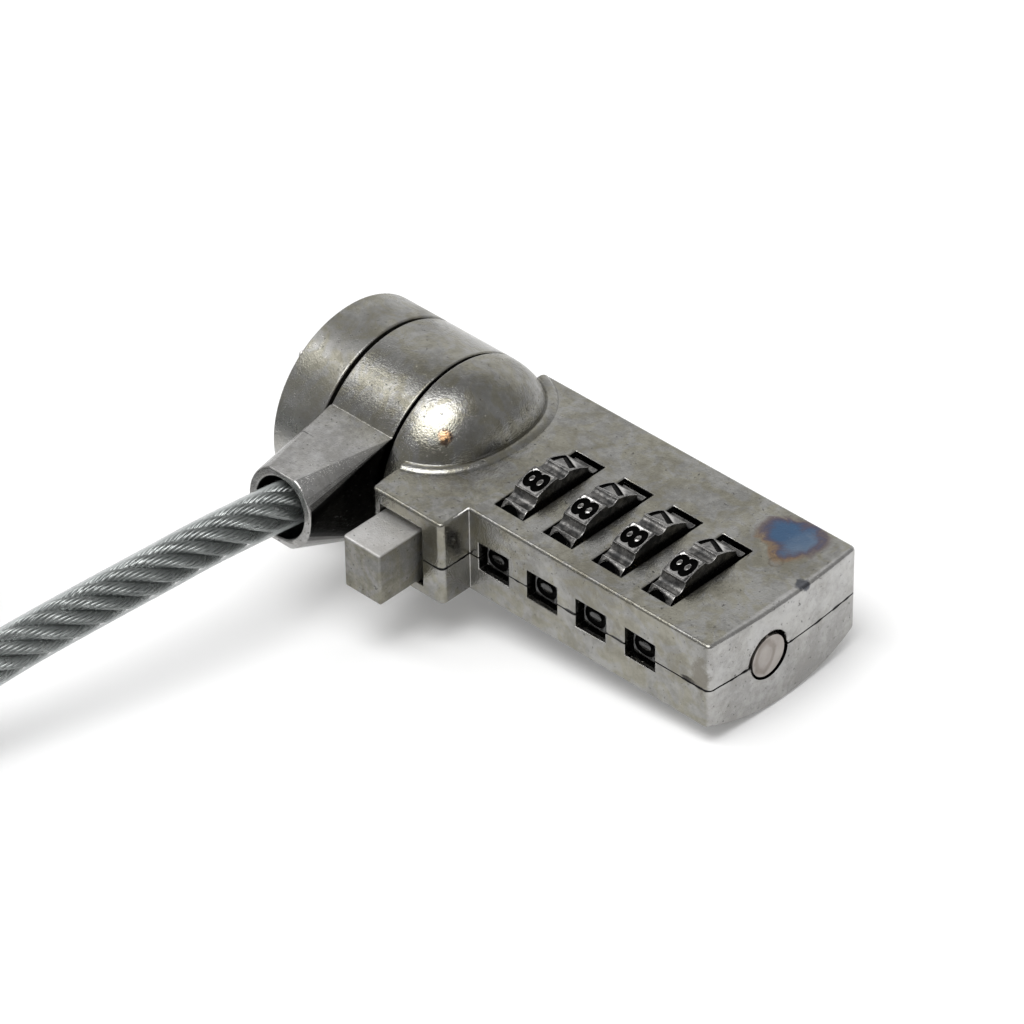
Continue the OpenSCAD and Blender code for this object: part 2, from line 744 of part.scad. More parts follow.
// Shaft with a spring seat, a sloped end that follows the button's ramp, and one fin per sleeve
module fin_shaft() {
    half = nose_r / 2;
    lean = ramp_slope * half;
    color("#a09f99") resting() difference() {
        union() {
            rod(ramp_left, shaft_end - ramp_left, dial_y, dial_z, shaft_d / 2);
            rod(seat_x, seat_t, dial_y, dial_z, seat_r);
            for (k = [0 : dial_count - 1])
                block(around(fin_x + fin_len / 2 + k * dial_pitch, fin_len / 2),
                    around(dial_y, fin_w / 2), [dial_z, dial_z + fin_r]);
        }
        translate([0, 0, -nose_r]) linear_extrude(nose_d)
            polygon([[rim_x, dial_y - half], [ramp_x + 0.05 + lean, dial_y - half],
                [ramp_x + 0.05 - lean, dial_y + half], [rim_x, dial_y + half]]);
    }
}

// Involute tooth with its middle along +X
function involute(rb, t) = rb * [cos(t) + t * PI / 180 * sin(t), sin(t) - t * PI / 180 * cos(t)];
function involute_angle(a) = tan(a) * 180 / PI - a;
function turned(p, a) = [p[0] * cos(a) - p[1] * sin(a), p[0] * sin(a) + p[1] * cos(a)];
module pinion_outline() {
    rb = pinion_r * cos(pressure_angle);
    tip = pinion_r + addendum;
    root = pinion_r - addendum - 0.14;
    half = (rack_pitch / 4 - backlash / 4) / pinion_r * 180 / PI + involute_angle(pressure_angle);
    roll = sqrt(tip * tip / (rb * rb) - 1) * 180 / PI;
    rising = [for (i = [0 : 6]) turned(involute(rb, roll * i / 6), -half)];
    falling = [for (i = [6 : -1 : 0]) [rising[i][0], -rising[i][1]]];
    tooth = concat([root / rb * rising[0]], rising, falling, [root / rb * falling[6]]);
    polygon([for (k = [0 : pinion_teeth - 1], p = tooth) turned(p, 90 + 360 * k / pinion_teeth)]);
}
module journal_outline(grow) {
    intersection() {
        circle(r = journal_r + grow);
        translate([-journal_r - grow, -journal_r - grow])
            square([2 * journal_r + 2 * grow, journal_r + grow + journal_flat + grow]);
    }
}
module t_bar_pinion() {
    color("#b08d4f") resting() along_x(pinion_x, pinion_w, nose_y, nose_z) difference() {
        pinion_outline();
        journal_outline(seat_gap);
    }
}
module t_bar() {
    round = tee_h / 2;
    color("#b4b3ad") resting() {
        along_x(tee_x, tee_t, nose_y, nose_z) {
            square([tee_len - tee_h, tee_h], center = true);
            for (s = [-1, 1]) translate([s * (tee_len / 2 - round), 0]) circle(r = round);
        }
        rod(tee_x + 0.1, cap_x - tee_x + 0.1, nose_y, nose_z, neck_d / 2);
        rod(cap_x + 0.1, flange_x + flange_t + 0.2 - cap_x, nose_y, nose_z, tee_shaft_d / 2);
        along_x(flange_x + flange_t, pinion_x + pinion_w + 0.1 - flange_x - flange_t, nose_y, nose_z)
            journal_outline(0);
    }
}

// Dial with lands for ten digits and a grip groove between each two
module dial(k) {
    color("#4c4b49") resting() along_x(first_slot + dial_inset + k * dial_pitch, dial_w, dial_y,
        dial_z) difference() {
            circle(r = dial_r, $fn = 120);
            circle(r = sleeve_r + seat_gap);
            translate([0, sleeve_r]) square([key_w + 0.1, 2 * key_h + 0.1], center = true);
            for (i = [0 : land_count - 1]) rotate(land_angle + (i + 0.5) * 360 / land_count)
                translate([dial_r + groove_r - groove_depth, 0]) circle(r = groove_r);
        }
}
module dial_1() { dial(0); }
module dial_2() { dial(1); }
module dial_3() { dial(2); }
module dial_4() { dial(3); }

// Sleeve that turns with its dial and lets the shaft's fin past only at its gate
module clutch_sleeve(k) {
    x = sleeve_x + k * dial_pitch;
    color("#b99b5e") resting() difference() {
        union() {
            rod(x, sleeve_len, dial_y, dial_z, sleeve_r);
            block(around(first_slot + dial_inset + dial_w / 2 + k * dial_pitch, dial_w / 2),
                around(dial_y, key_w / 2), [dial_z + sleeve_r - 0.3, dial_z + sleeve_r + key_h]);
        }
        rod(x - past, sleeve_len + 2 * past, dial_y, dial_z, sleeve_bore_r);
        rod(x + sleeve_flange, sleeve_len, dial_y, dial_z, recess_r);
        block([x - past, x + sleeve_flange + past], around(dial_y, fin_w / 2 + 0.15),
            [dial_z, dial_z + recess_r]);
    }
}
module clutch_sleeve_1() { clutch_sleeve(0); }
module clutch_sleeve_2() { clutch_sleeve(1); }
module clutch_sleeve_3() { clutch_sleeve(2); }
module clutch_sleeve_4() { clutch_sleeve(3); }

// Comb of leaf springs behind the dials, one finger with a round nose to each
module detent_spring() {
    leaf_t = 0.25;
    leaf_y = dial_y + dial_r + 0.75;
    nose_bump = 0.55;
    finger_top = 0.8;
    color("#9c9c98") resting() {
        block([first_slot - 0.4, tunnel_end - 1.4], [leaf_y, leaf_y + leaf_t],
            [bay_floor + 0.02, bay_floor + 1]);
        for (k = [0 : dial_count - 1]) {
            x = first_slot + dial_inset + 0.3 + k * dial_pitch;
            block([x, x + dial_w - 0.6], [leaf_y, leaf_y + leaf_t], [bay_floor + 0.9, finger_top]);
            rod(x, dial_w - 0.6, leaf_y + 0.05, dial_z, nose_bump);
        }
    }
}

module reset_pin() {
    flange_face = chamber_end - slide_gap;
    color("#9b928d") resting() {
        rod(flange_face - 0.1, pin_face - flange_face + 0.1, dial_y, dial_z, pin_d / 2);
        rod(flange_face - pin_flange_t, pin_flange_t, dial_y, dial_z, pin_flange_r);
        rod(stem_x, flange_face - pin_flange_t - stem_x + 0.1, dial_y, dial_z, stem_r);
    }
}

module case_screws() {
    color("#6a6966") resting() for (p = screw_places) translate([p[0], p[1], screw_seat]) {
        translate([0, 0, -screw_head_t]) cylinder(h = screw_head_t, r = screw_head_r);
        cylinder(h = screw_top - screw_seat, r = screw_r);
    }
}

upper_shell();
lower_shell();
nose_cap();
nose_pad();
cap_pin();
spindle();
front_washer();
rear_washer();
swivel_collar();
cable_crimp();
cable();
cable_coil();
cable_tail();
coil_tie();
eye_ferrule();
cable_eye();
push_button();
button_spring();
fin_shaft();
shaft_spring();
t_bar();
t_bar_pinion();
dial_1();
dial_2();
dial_3();
dial_4();
clutch_sleeve_1();
clutch_sleeve_2();
clutch_sleeve_3();
clutch_sleeve_4();
detent_spring();
reset_pin();
reset_spring();
case_screws();
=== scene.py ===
import math

import bmesh
import bpy
from mathutils import Matrix, Vector


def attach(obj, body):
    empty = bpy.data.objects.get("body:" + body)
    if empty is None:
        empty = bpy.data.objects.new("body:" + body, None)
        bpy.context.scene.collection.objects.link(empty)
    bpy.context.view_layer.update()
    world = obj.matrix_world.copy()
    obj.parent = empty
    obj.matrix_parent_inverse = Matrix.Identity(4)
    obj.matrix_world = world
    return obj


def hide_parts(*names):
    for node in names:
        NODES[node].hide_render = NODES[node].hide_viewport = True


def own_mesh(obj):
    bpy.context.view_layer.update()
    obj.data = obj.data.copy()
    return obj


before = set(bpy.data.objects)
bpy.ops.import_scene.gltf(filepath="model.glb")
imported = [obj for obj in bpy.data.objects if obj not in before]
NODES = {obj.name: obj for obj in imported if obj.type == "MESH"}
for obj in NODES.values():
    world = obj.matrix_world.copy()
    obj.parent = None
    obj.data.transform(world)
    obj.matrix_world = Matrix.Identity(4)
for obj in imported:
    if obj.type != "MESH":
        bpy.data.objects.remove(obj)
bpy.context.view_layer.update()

MM = 0.001


# Camera: a long lens looks down on the lock from the front right, a little rolled. It stands half
# a metre away, and its three directions are unit vectors in the part's frame.
CAMERA_PLACE = Vector((0.3150155, -0.2913579, 0.2970794))
CAMERA_RIGHT = Vector((0.716753, 0.692041, -0.0856994))
CAMERA_UP = Vector((-0.3352755, 0.4497628, 0.8278307))
CAMERA_BACK = Vector((0.6114373, -0.5646172, 0.5543933))
camera_data = bpy.data.cameras.new("camera")
camera_data.sensor_width = 36.0
camera_data.lens = 200.07
camera_data.clip_start = 0.02
camera = bpy.data.objects.new("camera", camera_data)
camera.matrix_world = Matrix.Translation(CAMERA_PLACE) @ Matrix(
    (CAMERA_RIGHT, CAMERA_UP, CAMERA_BACK)).transposed().to_4x4()
bpy.context.scene.collection.objects.link(camera)
bpy.context.scene.camera = camera


# Lie of the lock on the table: the case's own X, Y and Z axes in the part's frame. Millimetres in
# these axes, from the case's left face, front wall and mid-plane, are the lock's drawing sizes.
LIE_ANGLE = math.radians(5.790719)
LIE_ORIGIN = Vector((-9.961098, -5.077073, 10.401039)) * MM
LIE = Matrix.Translation(LIE_ORIGIN) @ Matrix.Rotation(LIE_ANGLE, 4, "Y") @ Matrix.Scale(MM, 4)
TO_DRAWING = LIE.inverted()
NOSE_Y, NOSE_Z = 9.6, -0.3
ARM_X, ARM_SWING = -6.12, math.radians(7)


def lain(x, y, z):
    return LIE @ Vector((x, y, z))


def drawn_way(way):
    """A direction in the part's frame as a direction along the lock's own axes."""
    return (TO_DRAWING.to_3x3() @ way).normalized()


def on_arm(reach):
    """A point on the middle line of the arm, at that distance from the nose's axis."""
    return lain(ARM_X, NOSE_Y - reach * math.cos(ARM_SWING), NOSE_Z + reach * math.sin(ARM_SWING))


# Finishes are written as expressions: a Reading is a value on its way through a material, and
# Wiring.node adds any node from its type, its settings and the values or links of its sockets.
class Reading:
    def __init__(self, wiring, socket):
        self.wiring, self.socket = wiring, socket

    def math(self, operation, *others):
        return self.wiring.node("ShaderNodeMath", {"operation": operation},
                                dict(enumerate((self, *others))))

    def __add__(self, other):
        return self.math("ADD", other)

    __radd__ = __add__

    def __mul__(self, other):
        return self.math("MULTIPLY", other)

    __rmul__ = __mul__

    def __sub__(self, other):
        return self.math("SUBTRACT", other)

    def __rsub__(self, other):
        return self.math("MULTIPLY_ADD", -1.0, other)


class Wiring:
    """The nodes of a material or of the room, and the coordinates that their patterns follow."""

    def __init__(self, tree, coordinates):
        self.tree = tree
        self.place = self.node("ShaderNodeTexCoord", output=coordinates)

    def node(self, kind, settings=None, inputs=None, output=0):
        node = self.tree.nodes.new(kind)
        for name, value in (settings or {}).items():
            setattr(node, name, value)
        for key, value in (inputs or {}).items():
            if isinstance(value, Reading):
                self.tree.links.new(value.socket, node.inputs[key])
            else:
                node.inputs[key].default_value = value
        return Reading(self, node.outputs[output])

    def between(self, value, low, high, to_low=0.0, to_high=1.0):
        """Runs smoothly from to_low to to_high while the value runs from low to high."""
        return self.node("ShaderNodeMapRange", {"interpolation_type": "SMOOTHSTEP"}, {
            "Value": value, "From Min": low, "From Max": high, "To Min": to_low,
            "To Max": to_high})

    def blend(self, share, first, second):
        """The first colour where share is 0, the second where it is 1."""
        return self.node("ShaderNodeMix", {"data_type": "RGBA"},
                         {0: share, 6: first, 7: second}, output=2)

    def vector(self, operation, first, second=None, output="Vector"):
        inputs = {0: first} if second is None else {0: first, 1: second}
        return self.node("ShaderNodeVectorMath", {"operation": operation}, inputs, output)


class Finish(Wiring):
    """A material. Its constants are set on the shader's sockets, with _ for a space."""

    def __init__(self, name, **constants):
        self.material = bpy.data.materials.new(name)
        self.material.use_nodes = True
        super().__init__(self.material.node_tree, "Object")
        self.surface = self.tree.nodes["Principled BSDF"]
        for socket, value in constants.items():
            self.surface.inputs[socket.replace("_", " ")].default_value = value

    def drawn(self):
        """X, Y and Z in the drawing's millimetres, as one vector and as three values."""
        place = self.node("ShaderNodeMapping", inputs={
            "Vector": self.place, "Location": TO_DRAWING.translation,
            "Rotation": (0, -LIE_ANGLE, 0), "Scale": (1 / MM,) * 3})
        parts = self.node("ShaderNodeSeparateXYZ", inputs={0: place}).socket.node.outputs
        return place, *(Reading(self, part) for part in parts)

    def noise(self, size, detail=2.0, roughness=0.5, distortion=0.0):
        return self.node("ShaderNodeTexNoise", inputs={
            "Vector": self.place, "Scale": 1 / size, "Detail": detail,
            "Roughness": roughness, "Distortion": distortion})

    def near(self, place, point, radii):
        """0 at the point, 1 at the distance radii from it along each axis."""
        scaled = self.vector("DIVIDE", self.vector("SUBTRACT", place, point), radii)
        return self.vector("LENGTH", scaled, output="Value")

    def worn_edges(self, normal):
        """0 on a flat face, rising on edges that the rounding normal bends away from it."""
        flat = self.node("ShaderNodeNewGeometry", output="True Normal")
        return 1.0 - self.vector("DOT_PRODUCT", normal, flat, output="Value")

    def rounding(self, radius):
        """A normal that rounds the edges off, without changing the shape."""
        return self.node("ShaderNodeBevel", {"samples": 6}, {"Radius": radius})

    def kept(self, attribute):
        """A value that the mesh keeps for each face."""
        return self.node("ShaderNodeAttribute", {"attribute_name": attribute}, output="Fac")

    def bump(self, height, depth, strength=1.0, normal=None):
        inputs = {"Height": height, "Strength": strength, "Distance": depth}
        if normal:
            inputs["Normal"] = normal
        return self.node("ShaderNodeBump", inputs=inputs)

    def set(self, **sockets):
        for socket, value in sockets.items():
            self.tree.links.new(value.socket, self.surface.inputs[socket.replace("_", " ")])
        return self.material


def grey(value, warm=0.0):
    """A grey that warm tilts from blue towards red."""
    return (value * (1 + warm), value, value * (1 - 1.3 * warm), 1.0)


# Cable: six-strand galvanised steel rope in a clear PVC jacket, one piece from the crimp in the
# arm's socket to its end in the ferrule. Its seen stretch sags to the table; the rest is stored in
# a coil of two layers, and its end lies on the turns, folded into an eye.
ROPE_R = 2.225
CABLE_R = ROPE_R * MM
SOCKET_REACHES = (13.6, 14.5)
LEAD_ROUTE = [(-15.9, -11.5, 12.7), (-16.1, -14.5, 13.0), (-16.6, -18.5, 13.1),
              (-17.2, -23, 13.1), (-17.8, -27.5, 12.9), (-18.7, -32, 12.5),
              (-19.8, -36.5, 11.9), (-21.2, -41, 11.0), (-22.7, -45.5, 9.8), (-24.4, -50, 8.3),
              (-26.2, -54.5, 6.7), (-28.2, -59, 5.1), (-30.1, -63, 3.9)]
COIL_MIDDLE = (-66.0, -58.0)
COIL_START, COIL_END, COIL_LOOPS, COIL_LAYERS = -24.0, 0.0, 6, 2
TURN_PITCH, LAY_Z, CLIMB_SWEEP = 4.9, 2.875, 180
COIL_SWEEP = 360 * COIL_LOOPS + COIL_START - COIL_END
LAYER_SWEEP = COIL_SWEEP / COIL_LAYERS
COIL_MID_R = 26.7
COIL_OUT_R = COIL_MID_R + TURN_PITCH * LAYER_SWEEP / 720
TAIL_ROUTE = [(-32.2, -66.5, 8.1), (-33.6, -70.5, 9.1), (-36.2, -74, 10.4),
              (-39.8, -76.8, 11.9), (-43.7, -78.6, 12.7)]
FERRULE_X, FERRULE_Y, FERRULE_LEN = -48.0, -79.2, 12.0
FERRULE_R, BARREL_GAP, FERRULE_LIFT = 3.0, 4.8, 0.05
TOP_Z = LAY_Z + TURN_PITCH + ROPE_R + FERRULE_R + FERRULE_LIFT
EYE_LEN, EYE_W, EYE_DROP, EYE_CURVE_W, EYE_FROM = 32.0, 20.0, 0.7, 1.3, 0.02
FOLD_END = 1.5
COIL_STEPS, EYE_STEPS, WAY_STEP, SEEN_STEP = 144, 30, 1.5, 0.55


def coil_point(swept):
    """The coil after so many degrees: inwards on the table, then up and outwards on the turns."""
    radius = COIL_OUT_R - TURN_PITCH / 360 * min(swept, COIL_SWEEP - swept)
    angle = math.radians(COIL_START - swept)
    climb = min(max((swept - LAYER_SWEEP) / CLIMB_SWEEP + 0.5, 0), 1)
    eased = climb * climb * (3 - 2 * climb)
    rise = eased * 0.5 + climb * 0.5
    return (COIL_MIDDLE[0] + radius * math.cos(angle), COIL_MIDDLE[1] + radius * math.sin(angle),
            LAY_Z + TURN_PITCH * rise)


def eye_point(turn):
    """A drop-shaped loop, from one barrel of the ferrule at 0 to the other one at a full turn."""
    half = math.sin(turn / 2)
    return (FERRULE_X - FERRULE_LEN - EYE_LEN * (1 - math.cos(turn)) / 2,
            FERRULE_Y + BARREL_GAP / 2 * math.cos(turn / 2)
            + EYE_W / EYE_CURVE_W * math.sin(turn) * half * half,
            TOP_Z - EYE_DROP * half * half)


def smooth_way(points, step):
    """A Catmull-Rom line through the points, with one point every step."""
    points = [Vector(p) for p in points]
    ends = [2 * points[0] - points[1]] + points + [2 * points[-1] - points[-2]]
    way = []
    for before, start, end, after in zip(ends, ends[1:], ends[2:], ends[3:]):
        count = max(1, round((end - start).length / step))
        for i in range(count):
            t = i / count
            way.append(0.5 * (2 * start + (end - before) * t
                              + (2 * before - 5 * start + 4 * end - after) * t * t
                              + (3 * start - before - 3 * end + after) * t ** 3))
    return way + [points[-1]]


coil_turns = [coil_point(COIL_SWEEP * i / COIL_STEPS) for i in range(COIL_STEPS + 1)]
eye_turns = [eye_point(2 * math.pi * (EYE_FROM + (1 - EYE_FROM) * i / EYE_STEPS))
             for i in range(EYE_STEPS + 1)]
ferrule_in = (FERRULE_X, FERRULE_Y + BARREL_GAP / 2, TOP_Z)
ferrule_out = (FERRULE_X - FERRULE_LEN, FERRULE_Y + BARREL_GAP / 2, TOP_Z)
fold_end = (FERRULE_X - FOLD_END, FERRULE_Y - BARREL_GAP / 2, TOP_Z)
seen_points = [tuple(on_arm(reach) / MM) for reach in SOCKET_REACHES] + LEAD_ROUTE
cable_points = (seen_points + coil_turns + TAIL_ROUTE + [ferrule_in, ferrule_out] + eye_turns
                + [fold_end])
cable_way = [p * MM for p in smooth_way(cable_points, WAY_STEP)]


def new_piece(name, data, finish, body):
    """A piece of the scene that rides on a body and has its material in a slot."""
    piece = bpy.data.objects.new(name, data)
    bpy.context.scene.collection.objects.link(piece)
    data.materials.clear()
    data.materials.append(finish)
    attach(piece, body)
    return piece


def tubes(name, ways, radius, sides):
    """A curve of one open spline for each way, with a round bevel."""
    curve = bpy.data.curves.new(name, "CURVE")
    curve.dimensions = "3D"
    curve.bevel_depth = radius
    curve.bevel_resolution = max(0, sides // 2 - 2)
    curve.use_fill_caps = True
    for way in ways:
        spline = curve.splines.new("POLY")
        spline.points.add(len(way) - 1)
        spline.points.foreach_set("co", [c for p in way for c in (*p, 1.0)])
        spline.use_smooth = True
    return curve


def rope_frames(way):
    """Each point of the way with two directions across it and the length run so far."""
    frames, run = [], 0.0
    for i, point in enumerate(way):
        along = (way[min(i + 1, len(way) - 1)] - way[max(i - 1, 0)]).normalized()
        side = Vector((0, 0, 1)).cross(along).normalized()
        run += (point - way[i - 1]).length if i else 0.0
        frames.append((point, side, along.cross(side), run))
    return frames


def laid_wire(frames, lay, turn, reach, own_lay=None, own_turn=0.0, own_reach=0.0):
    """A wire or strand that winds round the rope's middle, and on around its strand's middle."""
    way = []
    for point, side, rise, run in frames:
        angle = turn + 2 * math.pi * run / lay
        place = point + reach * (math.cos(angle) * side + math.sin(angle) * rise)
        if own_lay:
            own = own_turn - 2 * math.pi * run / own_lay
            place = place + own_reach * (math.cos(own) * side + math.sin(own) * rise)
        way.append(place)
    return way


SMOKY, MILKY = (0.36, 0.39, 0.39, 1), (0.60, 0.63, 0.62, 1)
DARK_ZINC, BRIGHT_ZINC = (0.07, 0.075, 0.075, 1), (0.42, 0.44, 0.43, 1)
jacket = Finish("clear_jacket", Roughness=0.10, IOR=1.5)
facing = jacket.node("ShaderNodeLayerWeight", inputs={"Blend": 0.35}, output="Facing")
cloud = jacket.noise(9 * MM, 3)
jacket.set(Base_Color=jacket.blend(cloud, SMOKY, MILKY),
           Alpha=0.03 + 0.05 * cloud + jacket.between(facing, 0.24, 0.62, 0.0, 0.70),
           Normal=jacket.bump(jacket.noise(0.9 * MM, 2), 0.02 * MM, 0.4))

wire_steel = Finish("galvanised_wire", Metallic=1.0)
tone = wire_steel.noise(1.6 * MM, 3)
wire_steel.set(Base_Color=wire_steel.blend(tone, DARK_ZINC, BRIGHT_ZINC),
               Roughness=wire_steel.between(tone, 0.3, 0.7, 0.40, 0.24))

cable_jacket = new_piece("cable_jacket", tubes("cable_jacket", [cable_way], CABLE_R, 20),
                         jacket.material, "swivel")
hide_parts("cable", "cable_coil", "cable_tail", "cable_eye")

STRANDS, STRAND_LAY, STRAND_REACH, STRAND_R = 6, 16.2 * MM, 1.42 * MM, 0.62 * MM
WIRES, WIRE_LAY, WIRE_REACH, WIRE_R = 11, 6.8 * MM, 0.56 * MM, 0.155 * MM
seen_way = [p * MM for p in smooth_way(seen_points + coil_turns[:1], SEEN_STEP)]
seen_frames = rope_frames(seen_way)
stored_frames = rope_frames(cable_way)
seen_wires = [laid_wire(seen_frames, STRAND_LAY, 2 * math.pi * s / STRANDS, STRAND_REACH,
                        WIRE_LAY, 2 * math.pi * w / WIRES, WIRE_REACH)
              for s in range(STRANDS) for w in range(WIRES)]
strand_ways = [laid_wire(stored_frames, STRAND_LAY, 2 * math.pi * s / STRANDS, STRAND_REACH)
               for s in range(STRANDS)]
cable_wires = new_piece("cable_wires", tubes("cable_wires", seen_wires, WIRE_R, 6),
                        wire_steel.material, "swivel")
cable_strands = new_piece("cable_strands", tubes("cable_strands", strand_ways, STRAND_R, 8),
                          wire_steel.material, "swivel")


# Lock metal: zinc die castings plated with black nickel, handled until they are stained, with heat
# tint on the top. Their recesses are painted near black as shade, their colour is painted lighter
# where they catch more light, and their edges are painted lighter for wear and a painted
# highlight.
# A copy of each casting gets its edges rounded as the mould leaves them.
PARTING_Z, CASE_END, TOP, DIAL_Y = -0.5, 38.1, 4.55, 7.5
SLOTS_X, SLOTS_END = (9.5, 36.0), 13.5
PLAIN_NICKEL = (0.225, 0.222, 0.210, 1), (0.325, 0.322, 0.308, 1)
YELLOW_NICKEL = (0.205, 0.195, 0.158, 1), (0.300, 0.290, 0.245, 1)
TINTS = (((31.9, 16.7, TOP), (2.0, 2.2, 1.4)), ((33.9, 16.5, TOP), (1.9, 3.1, 1.4)))
TINT_BLUES = (0.062, 0.120, 0.215, 1), (0.135, 0.190, 0.270, 1)
TINT_VIOLET = (0.105, 0.092, 0.125, 1)
TINT_BROWNS = (0.230, 0.160, 0.100, 1), (0.170, 0.145, 0.140, 1)
RING_AT, RING_R, RING_BROWN = (34.24, 13.02, TOP), 0.62, (0.105, 0.075, 0.050, 1)
BURN_AT, BURN_R = (2.07, 3.99, 6.93), 0.95
BURN_SOOT, BURN_COPPER = (0.060, 0.035, 0.020, 1), (0.800, 0.480, 0.240, 1)
SMUDGES = (((CASE_END, 12.3, TOP), (0.9, 0.8, 0.7), (0.050, 0.055, 0.070, 1)),
           ((CASE_END, 11.3, 0.85), (0.3, 0.4, 0.4), (0.070, 0.045, 0.030, 1)),
           ((35.9, 0.0, -0.25), (1.3, 0.3, 0.24), (0.015, 0.014, 0.012, 1)),
           ((37.0, 0.0, 0.9), (1.1, 0.6, 2.4), (0.185, 0.172, 0.145, 1)))
ARM_MARKS = (((-10.3, -3.1, 5.95), (3.4, 0.10, 0.9), (0.020, 0.020, 0.019, 1)),)
SEAM_AND_SHADE_BLACK = grey(0.012)


def nickel(metal, along, worn, painted_light_way, bright):
    """Plating in plain and yellow patches, and the stain that lays them out. Its painted light is
    given as an axis and the two places along it between which the colour turns lighter, where the
    metal catches more light, and bright is how light it is there."""
    stain = metal.noise(2.6 * MM, 4, 0.6, distortion=1.2)
    colour = metal.blend(metal.between(stain, 0.40, 0.60), metal.blend(worn, *PLAIN_NICKEL),
                         metal.blend(worn, *YELLOW_NICKEL))
    # Painted light: the colour turns lighter along the axis, towards where the metal catches more
    # light.
    axis, darker_at, lighter_at = painted_light_way
    colour = metal.blend(metal.between(along[axis], darker_at, lighter_at) * 0.8, colour,
                         metal.blend(worn, grey(0.7 * bright, 0.02), grey(bright, 0.01)))
    return colour, stain


def heat_tinted(metal, colour, place, along, stain):
    """Blue with a violet and a brown rim, where the heat of two near spots runs together."""
    first, second = (metal.near(place, middle, radii) for middle, radii in TINTS)
    heat = first.math("SMOOTH_MIN", second, 0.35) + (stain - 0.5) * 1.2
    blue = metal.blend(metal.between(along[0] + 5 * (stain - 0.5), 32.0, 35.5), *TINT_BLUES)
    rim = metal.blend(metal.between(along[1], 14.3, 16.0), *TINT_BROWNS)
    tint = metal.blend(metal.between(heat, 0.48, 0.92), blue, TINT_VIOLET)
    tint = metal.blend(metal.between(heat, 0.80, 1.04), tint, rim)
    return metal.blend(metal.between(heat, 0.96, 1.30), tint, colour)


def burnt(metal, colour, place, fleck):
    """A brown ring near the heat tint, and a burn on the dome with copper showing in it."""
    ring = metal.near(place, RING_AT, (RING_R,) * 3) + (fleck - 0.5) * 0.5
    colour = metal.blend(metal.between((ring - 1.0).math("ABSOLUTE"), 0.0, 0.34, 0.38, 0.0),
                         colour, RING_BROWN)
    burn = metal.near(place, BURN_AT, (BURN_R,) * 3) + (fleck - 0.5) * 2.4
    return metal.blend(metal.between(burn, 0.45, 0.95, 0.9, 0.0), colour,
                       metal.blend(metal.between(fleck, 0.45, 0.58), BURN_SOOT, BURN_COPPER))


def smudged(metal, colour, place, fleck, marks):
    """marks are stains, each with its middle, its reach along the axes and its colour."""
    for middle, radii, dirt in marks:
        smudge = metal.near(place, middle, radii) + (fleck - 0.5) * 1.6
        colour = metal.blend(metal.between(smudge, 0.6, 1.1, 0.85, 0.0), colour, dirt)
    return colour


def seamed(metal, colour, height, fleck):
    """A black seam on the parting plane, which is open wider in places."""
    open_here = metal.between(metal.noise(1.7 * MM, 3), 0.50, 0.68)
    seam = (height - PARTING_Z).math("ABSOLUTE") - 0.07 * fleck - 0.11 * open_here
    return metal.blend(metal.between(seam, 0.025, 0.055), SEAM_AND_SHADE_BLACK, colour)


def cast_finish(name, rough, painted_light_way, parted=False, bright=0.47, marks=()):
    """A plated casting's material. rough is its least and greatest roughness, the axis and places
    of its painted light and bright go to nickel, marks go to smudged, and parted adds the seam
    between the case halves."""
    metal = Finish(name, Metallic=1.0)
    place, *along = metal.drawn()
    patch = metal.noise(5.5 * MM, 5, 0.6, distortion=0.6)
    fleck = metal.noise(0.8 * MM, 5, 0.7)
    fine = metal.noise(0.2 * MM, 3, 0.65)
    speck = metal.between(metal.noise(0.34 * MM, 2, 0.5), 0.66, 0.74)
    worn = metal.between(patch * 0.6 + fleck * 0.4, 0.38, 0.62)
    colour, stain = nickel(metal, along, worn, painted_light_way, bright)
    colour = metal.blend(speck * 0.75, colour, grey(0.06, 0.05))
    colour = heat_tinted(metal, colour, place, along, stain)
    colour = burnt(metal, colour, place, fleck)
    colour = smudged(metal, colour, place, fleck, marks)
    rounded = metal.rounding(0.16 * MM)
    # Edges painted lighter: partly wear, partly a painted highlight along them.
    lighter_edges = metal.between(metal.worn_edges(rounded) + 0.12 * fleck, 0.08, 0.26)
    colour = metal.blend(lighter_edges * 0.8, colour, grey(0.52, 0.02))
    if parted:
        colour = seamed(metal, colour, along[2], fleck)
    # Painted shade: the faces marked as shade, in the recesses and on the arm's side, are painted
    # near black.
    colour = metal.blend(metal.kept("painted_shade"), colour, SEAM_AND_SHADE_BLACK)
    least, greatest = rough
    return metal.set(Base_Color=colour,
                     Roughness=metal.between(worn * 0.5 + fine * 0.5, 0.25, 0.75, greatest, least),
                     Normal=metal.bump(fine * 0.8 + fleck * 0.9 - speck, 0.055 * MM, 0.5,
                                       rounded))


WELD = 0.002 * MM
CREASE, FINE_CREASE = 32, 14
ON_PARTING, PARTING_SHARE, OPENING_SHARE = 0.01, 0.25, 0.4
SHORTEST_EDGE, ROOM_NEEDED = 0.02 * MM, 1.6


def welded(node):
    """A copy of a node's mesh, and its editable form with the doubled corners merged."""
    mesh = NODES[node].data.copy()
    work = bmesh.new()
    work.from_mesh(mesh)
    bmesh.ops.remove_doubles(work, verts=work.verts, dist=WELD)
    return mesh, work


def written(work, mesh):
    """The mesh, with what was worked on written into it."""
    work.to_mesh(mesh)
    work.free()
    return mesh


def room_beside(edge, sharp, most):
    """The width of the faces beside a sharp edge, as far as it goes before the next sharp one."""
    along = (edge.verts[1].co - edge.verts[0].co).normalized()
    reach = most
    for vert in edge.verts:
        for other in vert.link_edges:
            if other not in sharp:
                across = (other.other_vert(vert).co - vert.co).cross(along).length
                reach = min(reach, max(across, 0.2 * other.calc_length()))
    return reach


